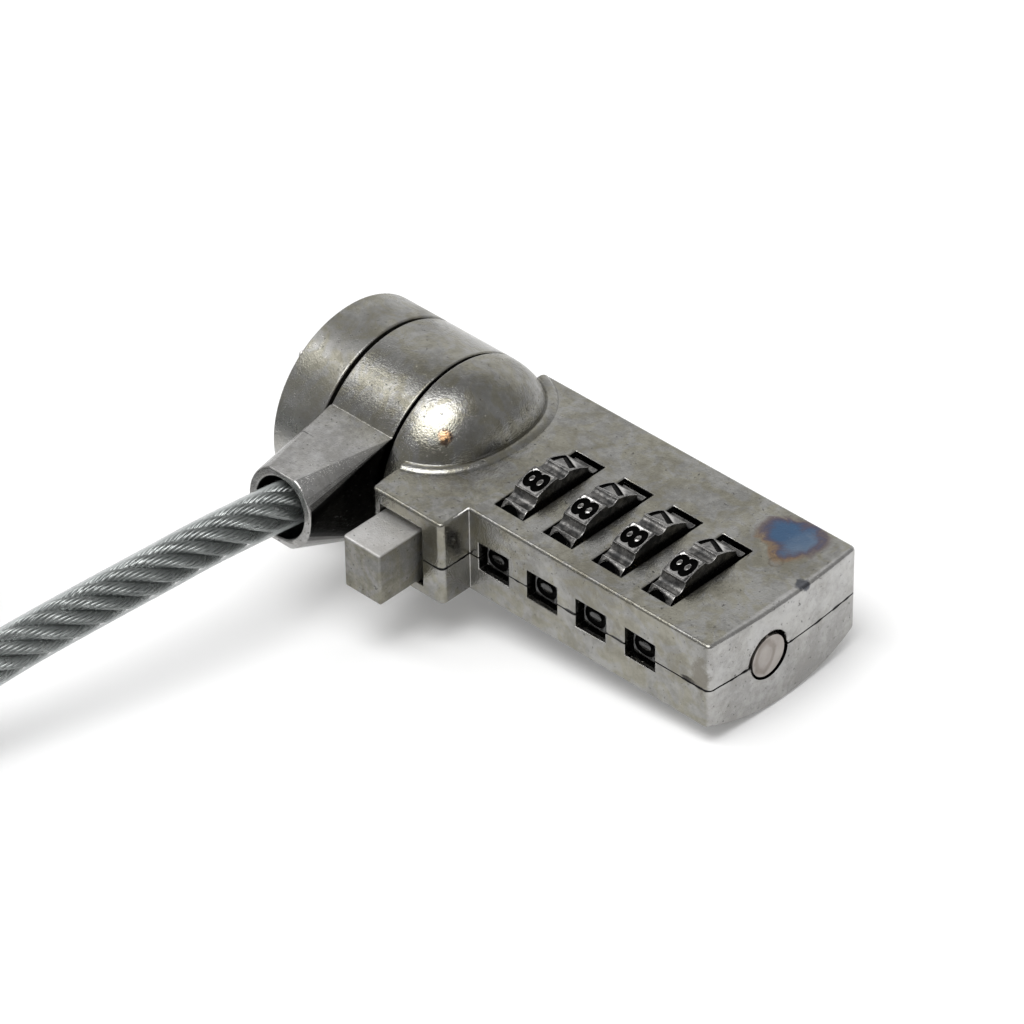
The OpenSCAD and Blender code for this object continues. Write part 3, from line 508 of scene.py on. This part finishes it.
def round_edges(work, width, clamp, where):
    """Rounds the sharp outward edges that have room beside them, one connected run at a time.
    Edges on the parting plane, which is ground flat, and of the slots and windows stay crisper.
    Inward corners keep their shape, so that no metal is added where the dials turn. Edges are
    taken in the mesh's own order, never a set's, so that the result is always the same."""

    def width_at(edge):
        places = [TO_DRAWING @ v.co for v in edge.verts]
        if all(abs(p.z - PARTING_Z) < ON_PARTING for p in places):
            return PARTING_SHARE * width
        if all(SLOTS_X[0] < p.x < SLOTS_X[1] and -0.1 < p.y < SLOTS_END for p in places):
            if all(p.y > 1 or abs(p.z) < 2 for p in places):
                return OPENING_SHARE * width
        return width

    sharp = dict.fromkeys(e for e in work.edges if len(e.link_faces) == 2 and e.is_convex
                          and e.calc_face_angle() > math.radians(CREASE)
                          and all(where(TO_DRAWING @ v.co) for v in e.verts))
    widths = {}
    for edge in sharp:
        wanted = width_at(edge)
        if (edge.calc_length() > SHORTEST_EDGE
                and room_beside(edge, sharp, 10 * width) > ROOM_NEEDED * wanted):
            widths[edge] = wanted
    while widths:
        first, wanted = next(iter(widths.items()))
        run, ahead = [], [first]
        while ahead:
            edge = ahead.pop()
            if widths.get(edge) == wanted:
                run.append(edge)
                del widths[edge]
                ahead += [e for v in edge.verts for e in v.link_edges]
        bmesh.ops.bevel(work, geom=run, offset=wanted, offset_type="OFFSET", segments=3,
                        profile=0.5, affect="EDGES", clamp_overlap=clamp, material=-1,
                        loop_slide=True)
        widths = {e: w for e, w in widths.items() if e.is_valid}


BELLY_X, BELLY_Y, BELLY_TOP = (13.4, 16.3), (2.0, 13.0), -5.0
SIDEWAYS = 0.9


def strips_on_belly(work):
    """Lays the belly between the first two windows in strips, each straight from edge to edge."""

    def on_belly(face):
        places = [TO_DRAWING @ v.co for v in face.verts]
        return abs(drawn_way(face.normal).x) < SIDEWAYS and all(
            BELLY_X[0] < p.x < BELLY_X[1] and BELLY_Y[0] < p.y < BELLY_Y[1] and p.z < BELLY_TOP
            for p in places)

    bmesh.ops.delete(work, geom=[f for f in work.faces if on_belly(f)], context="FACES")
    middle_x = sum(BELLY_X) / 2
    sides = [e for e in work.edges if e.is_boundary and
             len({(TO_DRAWING @ v.co).x > middle_x for v in e.verts}) == 1]
    for face in bmesh.ops.bridge_loops(work, edges=sides)["faces"]:
        face.normal_update()
        if drawn_way(face.normal).z > 0:
            face.normal_flip()


def softened(node, width, body, finish, crease=CREASE, clamp=False, where=lambda place: True,
             painted_shade=lambda place, normal: False, split_y=None, before=None):
    """A copy of a casting with rounded edges, which marks the faces that are painted black as
    shade, such as those of its recesses. It is rounded only where it says, and keeps its finest
    creases elsewhere. split_y ends the rounding of the edges that run through that depth. before
    is done to the merged mesh first."""
    mesh, work = welded(node)
    if before:
        before(work)
    bmesh.ops.dissolve_limit(work, angle_limit=math.radians(0.1), verts=work.verts,
                             edges=work.edges)
    if split_y is not None:
        bmesh.ops.bisect_plane(work, geom=[*work.verts, *work.edges, *work.faces],
                               plane_co=lain(0, split_y, 0), plane_no=(0, 1, 0))
    round_edges(work, width, clamp, where)
    for edge in work.edges:
        limit = crease if all(where(TO_DRAWING @ v.co) for v in edge.verts) else FINE_CREASE
        edge.smooth = (len(edge.link_faces) == 2
                       and edge.calc_face_angle() < math.radians(limit))
    piece = new_piece(node + "_cast", written(work, mesh), finish, body)
    black = mesh.attributes.new("painted_shade", "FLOAT", "FACE")
    for polygon, mark in zip(mesh.polygons, black.data):
        polygon.use_smooth = True
        mark.value = float(painted_shade(TO_DRAWING @ polygon.center, drawn_way(polygon.normal)))
    even = piece.modifiers.new("normals", "WEIGHTED_NORMAL")
    even.keep_sharp = True
    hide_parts(node)


DOME_MAJOR, DOME_MINOR, DOME_X = 3.1, 7.2, -1.8
FOOT_AHEAD, FOOT_ASIDE, FACE_SLACK = 1.0, 0.9, 0.05


def dome_foot(x):
    """Half the dome's width on the top face at X."""
    radius = DOME_MAJOR + math.sqrt(max(DOME_MINOR ** 2 - (x - DOME_X) ** 2, 0))
    return math.sqrt(max(radius ** 2 - (TOP - NOSE_Z) ** 2, 0))


foot_tip = DOME_X + math.sqrt(DOME_MINOR ** 2 - (TOP - NOSE_Z - DOME_MAJOR) ** 2)


def clear_of_dome(place):
    by_foot = (place.x < foot_tip + FOOT_AHEAD
               and abs(place.y - NOSE_Y) < dome_foot(place.x) + FOOT_ASIDE)
    return not (by_foot and place.z > TOP - FACE_SLACK and place.x > FACE_SLACK)


SLOT_WALLS = (SLOTS_X, (2, SLOTS_END), (2.5, 4.45))
WINDOW_WALLS = (SLOTS_X, (0.1, 1.3), (-2.0, 1.5))
BUTTON_HOLE = ((0.9, 6.1), (-3.45, -2), (-3.8, 2.5))
PIN_HOLE_X, PIN_HOLE_R = (36.5, 38.0), 2.7
ARM_FROM_Y, ARM_SIDE_WAY, ARM_SIDE_RANGE = 3.5, 0.80, 0.16


def in_case_recess(place, normal):
    """True on the walls of the slots, the front windows, the button's hole and the pin's hole,
    which are painted black as shade.
    """
    in_hole = (PIN_HOLE_X[0] < place.x < PIN_HOLE_X[1]
               and math.hypot(place.y - DIAL_Y, place.z - PARTING_Z) < PIN_HOLE_R)
    return in_hole or any(all(low < at < high for at, (low, high) in zip(place, box))
                          for box in (SLOT_WALLS, WINDOW_WALLS, BUTTON_HOLE))


def on_arm_side(place, normal):
    """1 on the arm's side that faces the case, where it is painted black as shade, falling to 0 as
    the surface turns away from it.
    """
    facing_case = min(max((normal.x - ARM_SIDE_WAY) / ARM_SIDE_RANGE, 0), 1)
    return facing_case if place.y < ARM_FROM_Y else 0


# Painted light: the case is painted lighter at its right end, the arm and the cap towards the
# front, and the button on its top.
case_cast = cast_finish("case_cast", (0.13, 0.26), (0, CASE_END - 0.5, CASE_END - 0.1), True,
                        marks=SMUDGES)
nose_cast = cast_finish("nose_cast", (0.12, 0.24), (1, 3.0, -2.5), marks=ARM_MARKS)
cap_cast = cast_finish("cap_cast", (0.27, 0.38), (1, 3.0, -2.5))
button_cast = cast_finish("button_cast", (0.48, 0.62), (2, 1.95, 2.15), bright=0.84)
CASE_ROUND, NOSE_ROUND, BUTTON_ROUND = 0.36 * MM, 0.20 * MM, 0.24 * MM
BUTTON_SPLIT, BUTTON_OUT, COLLAR_CREASE = -3.75, -3.7, 17
softened("upper_shell", CASE_ROUND, "housing", case_cast, painted_shade=in_case_recess,
         where=clear_of_dome)
softened("lower_shell", CASE_ROUND, "housing", case_cast, clamp=True, painted_shade=in_case_recess,
         before=strips_on_belly)
softened("nose_cap", NOSE_ROUND, "housing", cap_cast)
softened("swivel_collar", NOSE_ROUND, "swivel", nose_cast, crease=COLLAR_CREASE,
         painted_shade=on_arm_side)
softened("push_button", BUTTON_ROUND, "button", button_cast, split_y=BUTTON_SPLIT,
         where=lambda place: place.y < BUTTON_OUT)


# Bead round the foot of the dome: a low half-round that the mould leaves where the dome runs into
# the flat top. It covers the drawn step there.
BEAD_R, BEAD_OUT, BEAD_SINK, BEAD_FROM_X, BEAD_STEPS = 0.82, 0.3, 0.42, 0.02, 40
foot_steps = [foot_tip * math.sin(math.pi / 2 * i / BEAD_STEPS) for i in range(BEAD_STEPS + 1)]
near_half = [Vector((x, -dome_foot(x), 0)) for x in foot_steps]
foot = near_half + [Vector((p.x, -p.y, 0)) for p in reversed(near_half[:-1])]
bead_way = []
for before, point, after in zip([foot[0]] + foot, foot, foot[1:] + [foot[-1]]):
    outward = (after - before).cross(Vector((0, 0, 1))).normalized()
    place = point + BEAD_OUT * outward
    bead_way.append(lain(max(place.x, BEAD_FROM_X), NOSE_Y + place.y, TOP - BEAD_SINK))
new_piece("dome_bead", tubes("dome_bead", [bead_way], BEAD_R * MM, 16), case_cast, "housing")


# Flash on the cap: a speck of metal, longer than wide, that the mould left at its front edge. It
# is half sunk into the cap and brighter than the plating round it.
FLASH_AT, FLASH_SIZE = (-15.95, 3.6, 7.35), (0.6, 0.8, 1.1, 1)
speck_mesh = bmesh.new()
bmesh.ops.create_icosphere(speck_mesh, subdivisions=3, radius=0.5)
bmesh.ops.transform(speck_mesh, verts=speck_mesh.verts,
                    matrix=LIE @ Matrix.Translation(FLASH_AT) @ Matrix.Diagonal(FLASH_SIZE))
flash_data = written(speck_mesh, bpy.data.meshes.new("cap_flash"))
for polygon in flash_data.polygons:
    polygon.use_smooth = True
new_piece("cap_flash", flash_data, button_cast, "housing")


# Number dials: turned zinc rings, blackened and since worn bright on their edges. Ten numbers are
# stamped round each one and filled with black paint. A number's top is towards the nose.
DIAL_Z, DIAL_R, DIAL_W = PARTING_Z, 6.8, 2.75
FIRST_DIAL, DIAL_PITCH, DIALS = 10.42, 6.0, 4
LANDS, LAND_ANGLE, TOP_NUMBER = 10, 105, 8
NUMBER_W, NUMBER_H, NUMBER_DEPTH = 2.15, 2.42, 0.2
STROKE_GROWTH, STROKE_SPREAD = 0.022, 0.03
TYPE_HALF, TYPE_WELD = 0.5, 0.0005
DIAL_CREASE = 28


def number_solid(number):
    """A closed solid of one digit, 1 thick and as large as the type makes it."""
    letter = bpy.data.curves.new("number", "FONT")
    letter.body, letter.extrude, letter.offset = str(number), TYPE_HALF, STROKE_GROWTH
    letter.resolution_u = 5
    holder = bpy.data.objects.new("number", letter)
    solid = bmesh.new()
    solid.from_mesh(holder.to_mesh())
    holder.to_mesh_clear()
    bpy.data.objects.remove(holder)
    bmesh.ops.remove_doubles(solid, verts=solid.verts, dist=TYPE_WELD)
    return solid


def middle_and_size(solid, axis):
    places = [v.co[axis] for v in solid.verts]
    return (min(places) + max(places)) / 2, max(places) - min(places)


def numbers_for(middle_x, shift):
    """The stamps of all ten numbers, where they cut into one dial, each shifted sideways. All are
    scaled as the top number is."""
    stamps = bmesh.new()
    top_number = number_solid(TOP_NUMBER)
    wide = NUMBER_W / middle_and_size(top_number, 0)[1]
    high = NUMBER_H / middle_and_size(top_number, 1)[1]
    top_number.free()
    for land in range(LANDS):
        solid = number_solid((TOP_NUMBER + land) % LANDS)
        turn = math.radians(LAND_ANGLE + 360 / LANDS * land)
        out = Vector((0, math.cos(turn), math.sin(turn)))
        reading = Vector((0, math.sin(turn), -math.cos(turn)))
        middle = Vector((middle_x, DIAL_Y, DIAL_Z)) + (DIAL_R - NUMBER_DEPTH + TYPE_HALF) * out
        seat = Matrix((reading * wide, Vector((-high, 0, 0)), out)).transposed().to_4x4()
        bmesh.ops.translate(solid, verts=solid.verts, vec=(
            shift[0] / wide - middle_and_size(solid, 0)[0],
            shift[1] / high - middle_and_size(solid, 1)[0], 0))
        bmesh.ops.transform(solid, matrix=LIE @ Matrix.Translation(middle) @ seat,
                            verts=solid.verts)
        part = written(solid, bpy.data.meshes.new("stamp"))
        stamps.from_mesh(part)
        bpy.data.meshes.remove(part)
    bmesh.ops.recalc_face_normals(stamps, faces=stamps.faces)
    return written(stamps, bpy.data.meshes.new("stamps"))


def cut_out(piece, stamps):
    """Cuts the stamps out of the piece. The cut faces take the stamps' material."""
    bpy.context.scene.collection.objects.link(stamps)
    cut = piece.modifiers.new("numbers", "BOOLEAN")
    cut.object, cut.operation, cut.solver = stamps, "DIFFERENCE", "MANIFOLD"
    cut.material_mode = "TRANSFER"
    ready = piece.evaluated_get(bpy.context.evaluated_depsgraph_get())
    piece.data = bpy.data.meshes.new_from_object(ready)
    piece.modifiers.clear()
    bpy.data.objects.remove(stamps)


def engrave_dial(k, finish):
    """Cuts the numbers four times, a little apart, which makes their strokes bolder. The cuts are
    made in millimetres, because the solver fails on a dial of a few thousandths of a metre."""
    node = f"dial_{k + 1}"
    mesh, work = welded(node)
    piece = new_piece(node + "_engraved", written(work, mesh), finish, f"{node}_body")
    ink = bpy.data.materials.new("ink")
    piece.data.transform(Matrix.Scale(1 / MM, 4))
    for across, up in ((-1, -1), (1, -1), (1, 1), (-1, 1)):
        stamps = bpy.data.objects.new("stamps", numbers_for(
            FIRST_DIAL + DIAL_PITCH * k + DIAL_W / 2,
            (across * STROKE_SPREAD, up * STROKE_SPREAD)))
        stamps.data.materials.append(ink)
        stamps.data.transform(Matrix.Scale(1 / MM, 4))
        cut_out(piece, stamps)
    engraved = piece.data
    engraved.transform(Matrix.Scale(MM, 4))
    if not any(p.material_index for p in engraved.polygons):
        raise ValueError(f"no number was cut into {node}")
    inked = engraved.attributes.new("inked", "FLOAT", "FACE")
    inked.data.foreach_set("value", [float(p.material_index > 0) for p in engraved.polygons])
    for polygon in engraved.polygons:
        polygon.material_index, polygon.use_smooth = 0, True
    engraved.materials.clear()
    engraved.materials.append(finish)
    engraved.set_sharp_from_angle(angle=math.radians(DIAL_CREASE))
    bpy.data.materials.remove(ink)
    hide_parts(node)


dial_metal = Finish("dial_metal", Metallic=1.0)
*_, height = dial_metal.drawn()
ink_fill = dial_metal.kept("inked")
rounded = dial_metal.rounding(0.14 * MM)
soot = dial_metal.noise(0.9 * MM, 5, 0.65)
# Painted shade: below the case's top the dials are painted an even dark grey, for the shade inside
# the case and its windows.
out_of_case = dial_metal.between(height, DIAL_Z + 3.2, DIAL_Z + 4.4)
lighter_edges = dial_metal.between(dial_metal.worn_edges(rounded) + 0.12 * soot, 0.06, 0.24)
skin = dial_metal.blend(dial_metal.between(soot, 0.36, 0.66), grey(0.05), grey(0.21, 0.03))
skin = dial_metal.blend(lighter_edges, skin, grey(0.50, 0.02))
skin = dial_metal.blend(out_of_case, grey(0.085), skin)
polish = dial_metal.between(soot, 0.3, 0.7, 0.34, 0.20)
dial_metal.set(Base_Color=dial_metal.blend(ink_fill, skin, grey(0.002)),
               Roughness=polish + 0.4 * ink_fill,
               Normal=dial_metal.bump(dial_metal.noise(0.25 * MM, 3) + soot, 0.04 * MM, 0.6,
                                      rounded))
for k in range(DIALS):
    engrave_dial(k, dial_metal.material)


# Plain finishes for the pieces that keep their drawn shape: turned and pressed steel, brass, black
# washers and the pale rubber pad. Each is two close shades of one colour under a fine grain.
def plain_finish(name, colour, other, rough, metallic=1.0, size=1.5 * MM):
    metal = Finish(name, Metallic=metallic)
    tone = metal.noise(size, 4, 0.6)
    return metal.set(Base_Color=metal.blend(tone, colour, other),
                     Roughness=metal.between(tone, 0.3, 0.7, rough + 0.08, rough - 0.06),
                     Normal=metal.bump(metal.noise(0.2 * MM, 2) + tone, 0.02 * MM, 0.5))


def dress(material, *nodes):
    """Gives drawn nodes a material in place of their plain colour."""
    for node in nodes:
        data = NODES[node].data
        data.materials.clear()
        data.materials.append(material)


turned_steel = plain_finish("turned_steel", (0.42, 0.42, 0.41, 1), (0.58, 0.58, 0.56, 1), 0.28)
pressed_alloy = plain_finish("pressed_alloy", (0.33, 0.335, 0.34, 1), (0.47, 0.475, 0.48, 1),
                             0.46, size=0.9 * MM)
sleeve_brass = plain_finish("sleeve_brass", (0.20, 0.155, 0.085, 1), (0.30, 0.235, 0.13, 1), 0.36)
spring_steel = plain_finish("spring_steel", (0.40, 0.40, 0.40, 1), (0.55, 0.55, 0.55, 1), 0.25)
washer_black = plain_finish("washer_black", (0.02, 0.02, 0.02, 1), (0.05, 0.05, 0.05, 1), 0.5)
pad_rubber = plain_finish("pad_rubber", (0.72, 0.71, 0.66, 1), (0.80, 0.79, 0.75, 1), 0.55, 0.0)
dress(turned_steel, "spindle", "t_bar", "fin_shaft", "cap_pin", "case_screws")
dress(pressed_alloy, "eye_ferrule", "cable_crimp")
dress(washer_black, "front_washer", "rear_washer")
dress(sleeve_brass, "clutch_sleeve_1", "clutch_sleeve_2", "clutch_sleeve_3", "clutch_sleeve_4",
      "t_bar_pinion")
dress(spring_steel, "detent_spring")
dress(pad_rubber, "nose_pad")


# Return springs: wound from steel wire and set between a moving piece and the case. Each keeps its
# drawn length; how far it would shorten is worked out but not used.
SPRING_GAP = 0.01
ALONG, THROUGH = 0, 1
LOW_END, HIGH_END = 0, 1
BUTTON_TRAVEL, SHAFT_TRAVEL, RESET_TRAVEL = 3.14, 0.8, 1.0


def giving_spring(node, axis, fixed_end, travel):
    """A spring that lies ALONG the case or THROUGH its depth, and is fixed at one end of that."""
    data = NODES[node].data.copy()
    spring = new_piece(node + "_wound", data, spring_steel, "housing")
    places = [(TO_DRAWING @ v.co)[axis] for v in data.vertices]
    ends = (min(places), max(places))
    anchor, along = Vector((0, 0, 0)), Vector((0, 0, 0))
    anchor[axis], along[axis] = ends[fixed_end], 1.0
    1 - (travel + SPRING_GAP) / (ends[1] - ends[0])
    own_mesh(spring)
    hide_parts(node)


giving_spring("button_spring", THROUGH, HIGH_END, BUTTON_TRAVEL)
giving_spring("shaft_spring", ALONG, HIGH_END, SHAFT_TRAVEL)
giving_spring("reset_spring", ALONG, LOW_END, RESET_TRAVEL)


# Reset pin: a turned brass pin with dull plating, which leans in its hole until it is pushed home
# with a tool. Only its outer end moves aside, so that its flange still sits on its spring.
PIN_FACE_FROM, PIN_LEAN = 38.0, (0, -0.17, 0.11)
OVAL_AT, OVAL_REACH, OVAL_BROWN = (38.5, 6.9, -0.2), (2.0, 1.15, 1.55), (0.150, 0.118, 0.095, 1)
pin_metal = Finish("pin_metal", Metallic=1.0)
place, *_ = pin_metal.drawn()
tone = pin_metal.noise(1.5 * MM, 4, 0.6)
# Painted shade: a dark brown oval line on the pin's face stands for the shaded gap round the pin
# in its hole.
oval_shade_reach = pin_metal.near(place, OVAL_AT, OVAL_REACH) + (tone - 0.5) * 0.9
oval_line = pin_metal.between((oval_shade_reach - 1.0).math("ABSOLUTE"), 0.05, 0.36, 0.42, 0.0)
colour = pin_metal.blend(tone, (0.31, 0.285, 0.265, 1), (0.43, 0.40, 0.375, 1))
pin_metal.set(Base_Color=pin_metal.blend(oval_line, colour, OVAL_BROWN),
              Roughness=pin_metal.between(tone, 0.3, 0.7, 0.50, 0.36),
              Normal=pin_metal.bump(pin_metal.noise(0.2 * MM, 2), 0.02 * MM, 0.5))
leaning, work = welded("reset_pin")
bmesh.ops.translate(work, vec=LIE.to_3x3() @ Vector(PIN_LEAN), verts=[
    v for v in work.verts if (TO_DRAWING @ v.co).x > PIN_FACE_FROM])
leaning_pin = new_piece("reset_pin_leaning", written(work, leaning), pin_metal.material, "reset")
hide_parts("reset_pin")


# Strap round the stored coil: black woven hook-and-loop tape, wrapped once round the turns, with
# its end lapped over itself. It lies on the drawn band.
TAPE_AT, TAPE_W, TAPE_T, TAPE_SLACK = 110, 6.0, 0.6, 0.4
TAPE_RIB, TAPE_CORNER, TAPE_LAP, LAP_GAP = 0.6, 1.1, 9.0, 0.02
TAPE_EDGE, TAPE_CREASE = 0.35, 50
CORNER_STEPS, WIDTH_STEPS, LAP_STEPS = 6, 10, 12
tape_half = Vector((TURN_PITCH * LAYER_SWEEP / 360 + 2 * ROPE_R + 2 * TAPE_SLACK + TAPE_T,
                    TURN_PITCH + 2 * ROPE_R + TAPE_SLACK + TAPE_T)) / 2
tape_seat = (Matrix.Translation((*COIL_MIDDLE, 0)) @ Matrix.Rotation(math.radians(TAPE_AT), 4, "Z")
             @ Matrix.Translation((COIL_MID_R, 0, TAPE_T / 2 + tape_half.y)))


def tape_line():
    """The tape's middle line, a rectangle with round corners, from the lap's start all round."""
    line = []
    for corner, (side_x, side_z) in enumerate(((1, 1), (-1, 1), (-1, -1), (1, -1))):
        for step in range(CORNER_STEPS + 1):
            angle = math.pi / 2 * (corner + step / CORNER_STEPS)
            line.append((side_x * (tape_half.x - TAPE_CORNER) + TAPE_CORNER * math.cos(angle),
                         side_z * (tape_half.y - TAPE_CORNER) + TAPE_CORNER * math.sin(angle)))
    return line


def woven_tape(name, line, lift, closed):
    """A tape of full thickness along the line, moved outwards by lift and thinner at its edges."""
    work = bmesh.new()
    rings, count = [], len(line)
    for i, (x, z) in enumerate(line):
        before = line[i - 1] if closed or i else line[i]
        after = line[(i + 1) % count] if closed or i < count - 1 else line[i]
        out = Vector((after[1] - before[1], 0, before[0] - after[0])).normalized()
        ring = []
        for side in (1, -1):
            for step in range(WIDTH_STEPS + 1):
                across = side * TAPE_W / 2 * (1 - 2 * step / WIDTH_STEPS)
                rounding = 1 - TAPE_EDGE * abs(across / (TAPE_W / 2)) ** 8
                reach = lift + side * TAPE_T / 2 * rounding
                ring.append(work.verts.new(tape_seat @ (Vector((x, across, z)) + reach * out)
                                           * MM))
        rings.append(ring)
    for first, second in zip(rings, rings[1:] + ([rings[0]] if closed else [])):
        for i in range(len(first)):
            j = (i + 1) % len(first)
            work.faces.new((first[i], first[j], second[j], second[i]))
    if not closed:
        work.faces.new(rings[0])
        work.faces.new(reversed(rings[-1]))
    bmesh.ops.recalc_face_normals(work, faces=work.faces)
    mesh = written(work, bpy.data.meshes.new(name))
    for polygon in mesh.polygons:
        polygon.use_smooth = True
    mesh.set_sharp_from_angle(angle=math.radians(TAPE_CREASE))
    return mesh


tape_cloth = Finish("tape_cloth", Specular_IOR_Level=0.25)
ribs = tape_cloth.node("ShaderNodeTexWave", {"wave_type": "BANDS", "bands_direction": "Z"},
                       {"Vector": tape_cloth.place, "Scale": 0.5 / (TAPE_RIB * MM),
                        "Distortion": 0.6})
nap = tape_cloth.noise(0.35 * MM, 4, 0.7)
tape_cloth.set(Base_Color=tape_cloth.blend(nap, grey(0.010), grey(0.036)),
               Roughness=tape_cloth.between(nap, 0.3, 0.7, 0.95, 0.8),
               Normal=tape_cloth.bump(ribs * 0.5 + nap, 0.12 * MM, 0.6))
coil_strap = new_piece("coil_strap", woven_tape("coil_strap", tape_line(), 0.0, True),
                       tape_cloth.material, "swivel")
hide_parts("coil_tie")
lap_way = [(TAPE_LAP / 2 - TAPE_LAP * i / LAP_STEPS, tape_half.y) for i in range(LAP_STEPS + 1)]
strap_lap = new_piece("strap_lap", woven_tape("strap_lap", lap_way, TAPE_T + LAP_GAP, False),
                      tape_cloth.material, "swivel")


# Studio: a white table with a white backdrop behind the lock, a dim room on the other sides, a
# large soft lamp almost overhead and a smaller one on the nose's side.
bpy.ops.mesh.primitive_plane_add(size=6)
table = bpy.context.object
table.name = "table"
paper = Finish("table_paper", Roughness=0.9, Specular_IOR_Level=0.0, Emission_Strength=1.0,
               Base_Color=grey(0.84))
to_camera = paper.node("ShaderNodeLightPath", output="Is Camera Ray")
in_gloss = paper.node("ShaderNodeLightPath", output="Is Glossy Ray")
through = paper.node("ShaderNodeLightPath", output="Is Transmission Ray")
paper.set(Emission_Color=paper.blend(to_camera.math("MAXIMUM", in_gloss).math("MAXIMUM", through),
                                     grey(0.0), grey(0.16)))
table.data.materials.append(paper.material)

world = bpy.data.worlds.new("room")
bpy.context.scene.world = world
world.use_nodes = True
room = Wiring(world.node_tree, "Generated")


def towards(azimuth):
    """1 where the room is looked at in that direction, -1 in the opposite one."""
    turn = math.radians(azimuth)
    return room.vector("DOT_PRODUCT", room.place, (math.cos(turn), math.sin(turn), 0),
                       output="Value")


seen = room.node("ShaderNodeLightPath", output="Is Camera Ray")
walls = room.blend(room.between(towards(-35), 0.45, 0.95), grey(0.42), grey(0.26))
walls = room.blend(room.between(towards(130), 0.45, 0.75), walls, grey(0.98))
room.tree.links.new(room.blend(seen, walls, grey(1.0)).socket,
                    room.tree.nodes["Background"].inputs["Color"])


def softbox(name, azimuth, elevation, distance, size, glow):
    """An area lamp aimed at the lock. glow is its brightness, where 1 is white."""
    turn, tilt = math.radians(azimuth), math.radians(elevation)
    way = Vector((math.cos(turn) * math.cos(tilt), math.sin(turn) * math.cos(tilt),
                  math.sin(tilt)))
    data = bpy.data.lights.new(name, "AREA")
    data.shape = "RECTANGLE"
    data.size, data.size_y = size
    data.energy = glow * math.pi * size[0] * size[1]
    lamp = bpy.data.objects.new(name, data)
    lamp.matrix_world = Matrix.Translation(way * distance) @ way.to_track_quat(
        "Z", "Y").to_matrix().to_4x4()
    bpy.context.scene.collection.objects.link(lamp)


softbox("overhead", -70, 68, 0.55, (0.42, 0.34), 5.4)
softbox("nose_side", -152, 55, 0.6, (0.22, 0.22), 2.4)

bpy.context.scene.view_settings.view_transform = "Standard"
